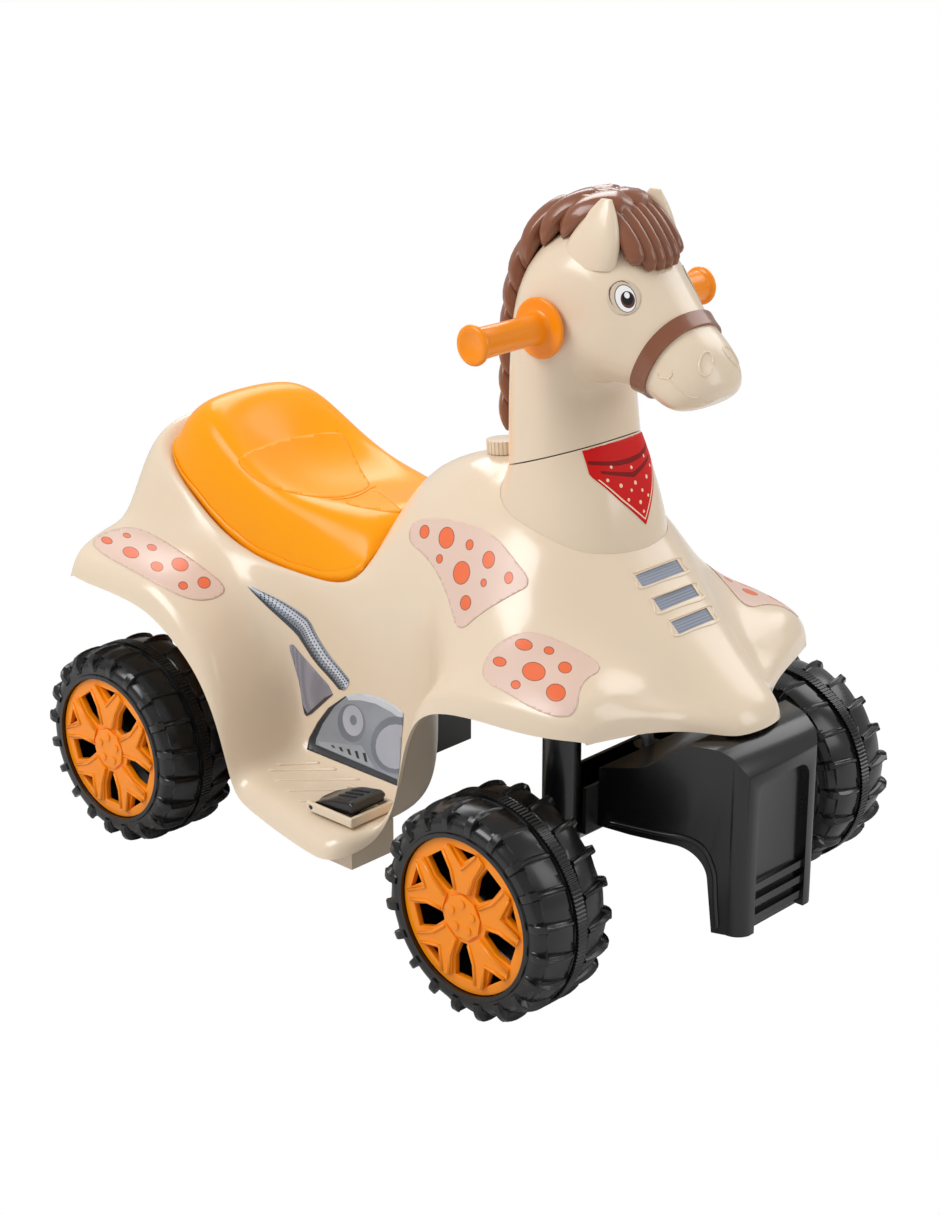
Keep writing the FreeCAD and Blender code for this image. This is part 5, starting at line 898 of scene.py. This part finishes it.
# %% Air slots
FRAME_RADIUS = 0.0011
FRAME_MARGIN = 3.6
SLOTS = (((659.7, 572.9), (20.3, -6.7), (2.7, 4.4)), ((676.2, 598.3), (19.1, -6.5), (2.7, 4.7)),
         ((692.5, 620.8), (17.7, -6.3), (2.4, 4.6)))
SLOT_ROUND = ((-1, -1), (0, -1), (1, -1), (1, 0), (1, 1), (0, 1), (-1, 1), (-1, 0))
nodes["vent_meshes"].data.materials[0] = woven("vent_mesh", 520.0, (84, 92, 108), (136, 145, 162), 0.30)
for k, (middle, half_length, half_height) in enumerate(SLOTS):
    long_side, short_side = Vector(half_length), Vector(half_height)
    long_side *= 1 + FRAME_MARGIN / long_side.length
    short_side *= 1 + FRAME_MARGIN / short_side.length
    around = [Vector(middle) + long_side * u + short_side * v for u, v in SLOT_ROUND]
    bead("slot_frame_%d" % k, around, *BODY, cream, FRAME_RADIUS, closed=True, mirrored=False, count=64)

# %% [markdown]
# The black front guard has a rolled edge along the cut-out of its flanks, where the moulding would
# otherwise be thin and sharp. It is a stout bead that follows the edge a little way in.

# %% Rolled edge of the front guard
EDGE_RADIUS = 0.0024
GUARD_EDGE = [(717, 930), (715, 900), (713.5, 872), (704, 850), (688, 839), (660, 833.5), (637, 828.5),
              (606, 821.5)]
bead("guard_edge_right", GUARD_EDGE, "front_bumper", "chassis", black, EDGE_RADIUS, count=40)

# %% [markdown]
# Where the child sits, the seat is grained so that it isn't slippery: one large field in the hollow and a
# small one on the nose of the seat, with a smooth ridge between them. The fields are thin sheets in the
# seat's own plastic with a coarser grain; grain on the whole seat would dull its glossy sides.

# %% Grain of the seat
seat_grain = moulded("seat_grain", (254, 158, 4), 0.42, 900, 0.45, 0.03, shine=0.2)
SEAT_FIELD = [(236, 460), (249, 451), (281, 440), (317, 433), (340, 432), (347, 439), (356, 460), (366, 478),
              (371, 485), (362, 492), (340, 498), (317, 498), (285, 492), (258, 482), (244, 471)]
SEAT_NOSE_FIELD = [(343, 502), (358, 498), (373, 488.5), (390, 500), (406, 514), (380, 511), (352, 506)]
SEAT_RIDGE = [(330, 499.5), (345, 498.8), (358, 495.5), (368, 490), (376, 486)]
FIELD_LIFT, RIDGE_RADIUS = 0.0003, 0.0012
SEAT = ("seat", "seat")
foil("seat_field", SEAT_FIELD, *SEAT, [seat_grain], mirrored=False, spacing=4.0, lift=FIELD_LIFT)
foil("seat_nose_field", SEAT_NOSE_FIELD, *SEAT, [seat_grain], mirrored=False, rounds=1, lift=FIELD_LIFT)
bead("seat_ridge", SEAT_RIDGE, *SEAT, orange, RIDGE_RADIUS, mirrored=False)

# %% [markdown]
# The seat's lower edge turns down into the gap above the body. This lip follows the seat's outline and
# stops just short of the shell, so that the seam is a fine line all round and the seat still lifts off.

# %% Lip of the seat
LIP_SECTORS, LIP_SMOOTHING = 144, 3
LIP_GAP, LIP_DROP, LIP_OVERLAP, LIP_PROUD, LIP_THICKNESS = 0.0009, 0.012, 0.003, 0.0003, 0.001
DOWN = Vector((0, 0, -1))


def box_of(name):
    """Low corner, high corner and middle of a CAD piece."""
    low, high = (Vector(corner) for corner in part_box(name))
    return low, high, (low + high) / 2


seat_x = box_of("seat")[2].x
sectors = {}
for p in [v.co for v in nodes["seat"].data.vertices]:
    k = int((math.atan2(p.y, p.x - seat_x) + math.pi) / (2 * math.pi) * LIP_SECTORS) % LIP_SECTORS
    reach = math.hypot(p.x - seat_x, p.y)
    if k not in sectors or reach > sectors[k][0]:
        sectors[k] = (reach, p)
rim = [sectors[k][1] for k in sorted(sectors)]
for turn in range(LIP_SMOOTHING):
    rim = [(rim[k - 1] + rim[k] * 2 + rim[(k + 1) % len(rim)]) / 4 for k in range(len(rim))]
lip_places = []
for p in rim:
    outward = (p - Vector((seat_x, 0, p.z))).normalized()
    edge = p + outward * LIP_PROUD
    hit = skin_of("body_shell").ray_cast(edge, DOWN)[0]
    drop = min(LIP_DROP, edge.z - hit.z - LIP_GAP) if hit else LIP_DROP
    lip_places += [p - outward * LIP_PROUD - DOWN * LIP_OVERLAP, edge + DOWN * max(drop, 0.0)]
lip_faces = [[2 * a, 2 * b, 2 * b + 1, 2 * a + 1] for a, b in pairs(list(range(len(rim))))]
lip = piece_from("seat_lip", lip_places, lip_faces, "seat", [orange], thickness=LIP_THICKNESS)
print("lip points", len(rim))

# %% [markdown]
# The grips are turned shapes: a knob with a shallow dish at the outer end, a slightly waisted handle with
# fine rings and a round guard against the head. Turning a profile about the bar gives round edges and a
# true circle at any distance, which the CAD mesh with its flat facets doesn't.

# %% Grips
TURN_STEPS = 72
# way along the grip from its end, and radius
KNOB_PROFILE = [(0.0010, 0.0), (0.0010, 0.0105), (0.0002, 0.0118), (0.0, 0.0145), (0.0006, 0.0163),
                (0.0018, 0.0174), (0.0032, 0.01775), (0.0045, 0.0174), (0.0056, 0.0163), (0.0062, 0.0150),
                (0.0072, 0.0141)]
GUARD_PROFILE = [(0.0085, 0.0140), (0.0064, 0.0150), (0.0054, 0.0175), (0.0050, 0.0235), (0.0047, 0.0255),
                 (0.0038, 0.0267), (0.0025, 0.0270), (0.0010, 0.0266), (0.0, 0.0252), (0.0, 0.0135)]
HANDLE_RINGS = 26
HANDLE_RADIUS, HANDLE_WAIST, RING_DEPTH = 0.01375, 0.0006, 0.00018


def round_axle(middle, radius, y, turn):
    """Place at a radius and a turn round an axle through the middle, some way to the left."""
    return Vector((middle.x + radius * math.cos(turn), y, middle.z + radius * math.sin(turn)))


def turned_grip(name, node, side):
    """A grip turned about the handlebar; side is -1 for the right one."""
    low, high, middle = box_of(node)
    length = high.y - low.y
    profile = list(KNOB_PROFILE)
    start, end = KNOB_PROFILE[-1][0], length - GUARD_PROFILE[0][0]
    for k in range(1, 2 * HANDLE_RINGS):
        run = k / (2 * HANDLE_RINGS)
        radius = HANDLE_RADIUS - HANDLE_WAIST * math.sin(math.pi * run) + RING_DEPTH * (k % 2)
        profile.append((start + (end - start) * run, radius))
    profile += [(length - reach, radius) for reach, radius in GUARD_PROFILE]
    outer = high.y if side > 0 else low.y
    places = [round_axle(middle, radius, outer - side * along, 2 * math.pi * k / TURN_STEPS)
              for along, radius in profile for k in range(TURN_STEPS)]
    faces = [face[::side] for face in ring_faces(len(profile), TURN_STEPS)]
    grip = piece_from(name, places, faces, "steering", [deep_orange])
    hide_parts(node)
    print(name, "length", round(length, 4), "m")


turned_grip("turned_grip_right", "grip_right", -1)
turned_grip("turned_grip_left", "grip_left", 1)

# %% [markdown]
# The tyres are hollow black mouldings. Narrow lugs run from the middle band to the shoulder and end there in
# a block that folds over the side wall; between two lugs the tread is a shallow scoop. A tyre is turned from
# a profile, as on a lathe, and every ring of the tread is raised by a height that depends on how far round
# it lies between two lugs. Cutting the lugs out of a plain ring would leave flat facets instead of scoops.

# %% Profile of the tyres
LUGS, LUG_STEPS, LUG_LEAN = 20, 40, 0.16
RIDGE_TOP, RIDGE_FOOT = 0.04, 0.11
BLOCK_TOP, BLOCK_FOOT = 0.12, 0.16
SCOOP_RISE = 0.4
# radius, place across the tyre and height of the lug in millimetres
TREAD_ROWS = [(96.2, 0, 0), (96.2, 6.4, 0), (94.4, 7.2, 0), (94.4, 8.4, 0), (95.4, 9.2, 0), (95.4, 9.9, 3.0),
              (95.2, 14, 4.2), (94.6, 20, 5.2), (93.6, 26, 6.1), (92.2, 31, 6.8), (90.6, 35.5, 7.2)]
BLOCK_ROWS = [(90.1, 36.4, 7.2), (88.8, 38.6, 6.8), (86.9, 41.0, 5.4), (84.6, 42.6, 3.6), (82.0, 43.1, 2.4),
              (79.4, 43.2, 1.8), (78.7, 43.2, 0), (76.4, 43.2, 0), (75.6, 44.9, 0)]
HOLLOW_ROWS = [(71.9, 45, 0), (71.9, 35, 0), (64.5, 35, 0), (64.5, 30, 0), (86, 30, 0), (89, 25, 0),
               (89, -35, 0), (83, -40, 0), (16, -40, 0), (16, 20, 0), (7.8, 20, 0), (7.8, -44.9, 0)]


def lug_height(share, block):
    """Share of the full height at a share of the way between the middles of two gaps."""
    top, foot = (BLOCK_TOP, BLOCK_FOOT) if block else (RIDGE_TOP, RIDGE_FOOT)
    away = abs(share - 0.5)
    ridge = min(1.0, max(0.0, (foot - away) / (foot - top)))
    if block:
        return ridge
    behind = (share - 0.5 - foot) % 1.0
    return max(ridge, SCOOP_RISE * min(1.0, behind / (1 - 2 * foot)))


half_rows = [row + (False,) for row in TREAD_ROWS] + [row + (True,) for row in BLOCK_ROWS]
inner_half = [(radius, -y, height, block) for radius, y, height, block in half_rows[:0:-1]]
tyre_rows = inner_half + half_rows + [row + (False,) for row in HOLLOW_ROWS]
print("rings of a tyre", len(tyre_rows), "steps round it", LUGS * LUG_STEPS)

# %% [markdown]
# Every row of the profile becomes a ring of points about the axle, with as many steps from one lug to the
# next. The lugs of the inner half stand between those of the outer half, and they lean more the nearer they
# come to the shoulder. A left tyre is the mirror of a right one, so its faces are turned round.

# %% Tyres
WHEELS = [(corner, corner + "_wheel", -1 if "right" in corner else 1) for corner in CORNERS]


def lugged_tyre(name, tyre, wheel, side):
    """A tyre turned about its axle; side is -1 for the right wheels."""
    centre = box_of(tyre)[2]
    steps = LUGS * LUG_STEPS
    places = []
    for j, (radius, y, height, block) in enumerate(tyre_rows):
        before, after = tyre_rows[j - 1], tyre_rows[(j + 1) % len(tyre_rows)]
        rise = Vector((after[1] - before[1], before[0] - after[0])).normalized()
        lean = LUG_LEAN * abs(y) / TREAD_ROWS[-1][1]
        shift = 0.5 if y < 0 else 0.0
        for k in range(steps):
            lift = height * lug_height((k / LUG_STEPS + shift) % 1.0, block) if height else 0.0
            turn = 2 * math.pi * (k / LUG_STEPS + lean) / LUGS
            places.append(round_axle(centre, (radius + rise.x * lift) / 1000,
                                     centre.y + side * (y + rise.y * lift) / 1000, turn))
    faces = [face[::-side] for face in ring_faces(len(tyre_rows), steps, True)]
    lugged = piece_from(name, places, faces, wheel, [tread])
    sharp_edges(lugged)
    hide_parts(tyre)
    print(name, "faces", len(faces))


for corner, wheel, side in WHEELS:
    lugged_tyre(corner + "_lugged_tyre", corner + "_tyre", wheel, side)

# %% [markdown]
# A flat band runs round the middle of every tyre and is milled with fine ribs across it. A toothed ring is
# the direct way: two steps up and two down for each rib, closed into a thin band.

# %% Milled bands of the tyres
BAND_RIBS, RIB_STEPS = 170, 4
BAND_HALF_WIDTH = 0.0056
BAND_LOW, BAND_HIGH, BAND_INNER = 0.0984, 0.0993, 0.0965


def milled_band(name, tyre, wheel):
    """Toothed ring on the middle of one tyre."""
    centre = box_of(tyre)[2]
    steps = BAND_RIBS * RIB_STEPS
    places = []
    for k in range(steps):
        turn = 2 * math.pi * k / steps
        outer = BAND_HIGH if k % RIB_STEPS < RIB_STEPS / 2 else BAND_LOW
        for radius, side in ((outer, -1), (outer, 1), (BAND_INNER, 1), (BAND_INNER, -1)):
            places.append(round_axle(centre, radius, centre.y + side * BAND_HALF_WIDTH, turn))
    faces = [[a, d, c, b] for a, b, c, d in ring_faces(steps, 4, True)]
    band = piece_from(name, places, faces, wheel, [tread])
    for face in band.data.polygons:
        face.use_smooth = False


for corner, wheel, side in WHEELS:
    milled_band(corner + "_band", corner + "_tyre", wheel)
print("milled bands with", BAND_RIBS, "ribs")

# %% [markdown]
# Every wheel face has five forked spokes whose edges stand up as ridges. They are half-sunk tubes again: two
# along the sides of the fork and one round its notch, drawn once from the middle of the wheel and turned by
# a fifth of a circle for each spoke.

# %% Ridges of the wheel faces
FORK_SPOKES = 5
FORK_RIDGE = 0.0017
# share of the face's radius and degrees off the spoke
FORK_LINES = [[(0.35, -18), (0.60, -17), (0.86, -21.5)], [(0.35, 18), (0.60, 17), (0.86, 21.5)],
              [(0.90, -14.5), (0.635, 0), (0.90, 14.5)]]


def face_ridges(name, rim, wheel, side):
    """Ridges on the forks of one wheel face; side is -1 for the right wheels."""
    low, high, middle = box_of(rim)
    radius = (high.z - low.z) / 2
    outer = high.y if side > 0 else low.y
    places, faces = [], []
    for k in range(FORK_SPOKES):
        for line in FORK_LINES:
            path = [round_axle(middle, share * radius, outer,
                               math.radians(90 - degrees) - 2 * math.pi * k / FORK_SPOKES)
                    for share, degrees in line]
            outward = [Vector((0, side, 0))] * len(path)
            join(places, faces, *tube(path, outward, [(FORK_RIDGE, FORK_RIDGE)] * len(path)))
    ridges = piece_from(name, places, faces, wheel, [deep_orange])
    print(name, "faces", len(faces))


for corner, wheel, side in WHEELS:
    face_ridges(corner + "_ridges", corner + "_rim", wheel, side)

# %% [markdown]
# The pedal's tread is a smooth black wedge, low under the heel and full under the toes, with three grip lines
# along its top. It is lofted through rounded sections that stand on the CAD pedal's sloping plate, so it
# tips with the pedal. A bevelled block would keep flat sides, which the soft moulding doesn't have.

# %% Pad of the pedal
PAD_ROWS, PAD_RING = 26, 21
PAD_HALF, PAD_SKIRT, PAD_FRONT = 0.0216, 0.003, 0.0008
PAD_HEEL, PAD_TOE, PAD_END = 0.0012, 0.0050, 0.0020
PAD_RISE_END, PAD_FALL_START = 0.55, 0.9
PAD_SQUARE = 0.3
HEEL_WIDTH, HEEL_RUN, HEEL_POWER = 0.55, 0.2, 0.6
PLATE_SPOTS = (0.36, 0.84)
LOOK_ABOVE = 0.01
pedal_low, pedal_high, pedal_centre = box_of("pedal")
plate = []
for share in PLATE_SPOTS:
    x = pedal_low.x + (pedal_high.x - pedal_low.x) * share
    start = Vector((x, pedal_centre.y, pedal_high.z + LOOK_ABOVE))
    plate.append(skin_of("pedal").ray_cast(start, DOWN)[0])
plate_slope = (plate[1].z - plate[0].z) / (plate[1].x - plate[0].x)


def pad_top(run):
    """Place along the pedal, height of its plate and height of the pad above the plate."""
    x = pedal_low.x + (pedal_high.x + PAD_FRONT - pedal_low.x) * run
    climb = min(1.0, run / PAD_RISE_END)
    height = PAD_HEEL + (PAD_TOE - PAD_HEEL) * climb ** 2 * (3 - 2 * climb)
    if run > PAD_FALL_START:
        height -= (PAD_TOE - PAD_END) * ((run - PAD_FALL_START) / (1 - PAD_FALL_START)) ** 2
    return x, plate[0].z + (x - plate[0].x) * plate_slope, height


def pad_section(j):
    """Share of the half width and of the height at one point of the pad's rounded section."""
    turn = math.pi * j / (PAD_RING - 1)
    flat, steep = math.cos(turn), math.sin(turn)
    across = 0.0 if j * 2 == PAD_RING - 1 else math.copysign(abs(flat) ** PAD_SQUARE, flat)
    return across, steep ** PAD_SQUARE if 0 < j < PAD_RING - 1 else 0.0


pad_places = []
for k in range(PAD_ROWS):
    run = k / (PAD_ROWS - 1)
    x, ground, height = pad_top(run)
    half = PAD_HALF * (HEEL_WIDTH + (1 - HEEL_WIDTH) * min(1.0, run / HEEL_RUN) ** HEEL_POWER)
    for across, rise in map(pad_section, range(PAD_RING)):
        pad_places.append(Vector((x, pedal_centre.y + half * across,
                                  ground - PAD_SKIRT + (PAD_SKIRT + height) * rise)))
pad_faces = [[a, d, c, b] for a, b, c, d in ring_faces(PAD_ROWS, PAD_RING)]
pad_faces += [list(range(PAD_RING)), list(range(len(pad_places) - PAD_RING, len(pad_places)))[::-1]]
print("pad slope", round(math.degrees(math.atan(plate_slope)), 2), "degrees")

# %% [markdown]
# The grip lines are three beads along the top of the wedge. They belong to the same moulding, so they are
# added to its mesh, and the piece as a whole rides the pedal.

# %% Grip lines of the pad
GRIP_LINES, GRIP_RADIUS, GRIP_REACH, GRIP_STEPS = (-0.008, 0.0, 0.008), 0.0011, (0.42, 0.86), 12
PAD_ANGLE = math.radians(50)
for across in GRIP_LINES:
    path = []
    for k in range(GRIP_STEPS):
        x, ground, height = pad_top(GRIP_REACH[0] + (GRIP_REACH[1] - GRIP_REACH[0]) * k / (GRIP_STEPS - 1))
        path.append(Vector((x, pedal_centre.y + across, ground + height)))
    join(pad_places, pad_faces, *tube(path, [-DOWN] * GRIP_STEPS, [(GRIP_RADIUS, GRIP_RADIUS)] * GRIP_STEPS))
pad = piece_from("pedal_pad", pad_places, pad_faces, "pedal", [black])
sharp_edges(pad, PAD_ANGLE)
print("pad faces", len(pad_faces))
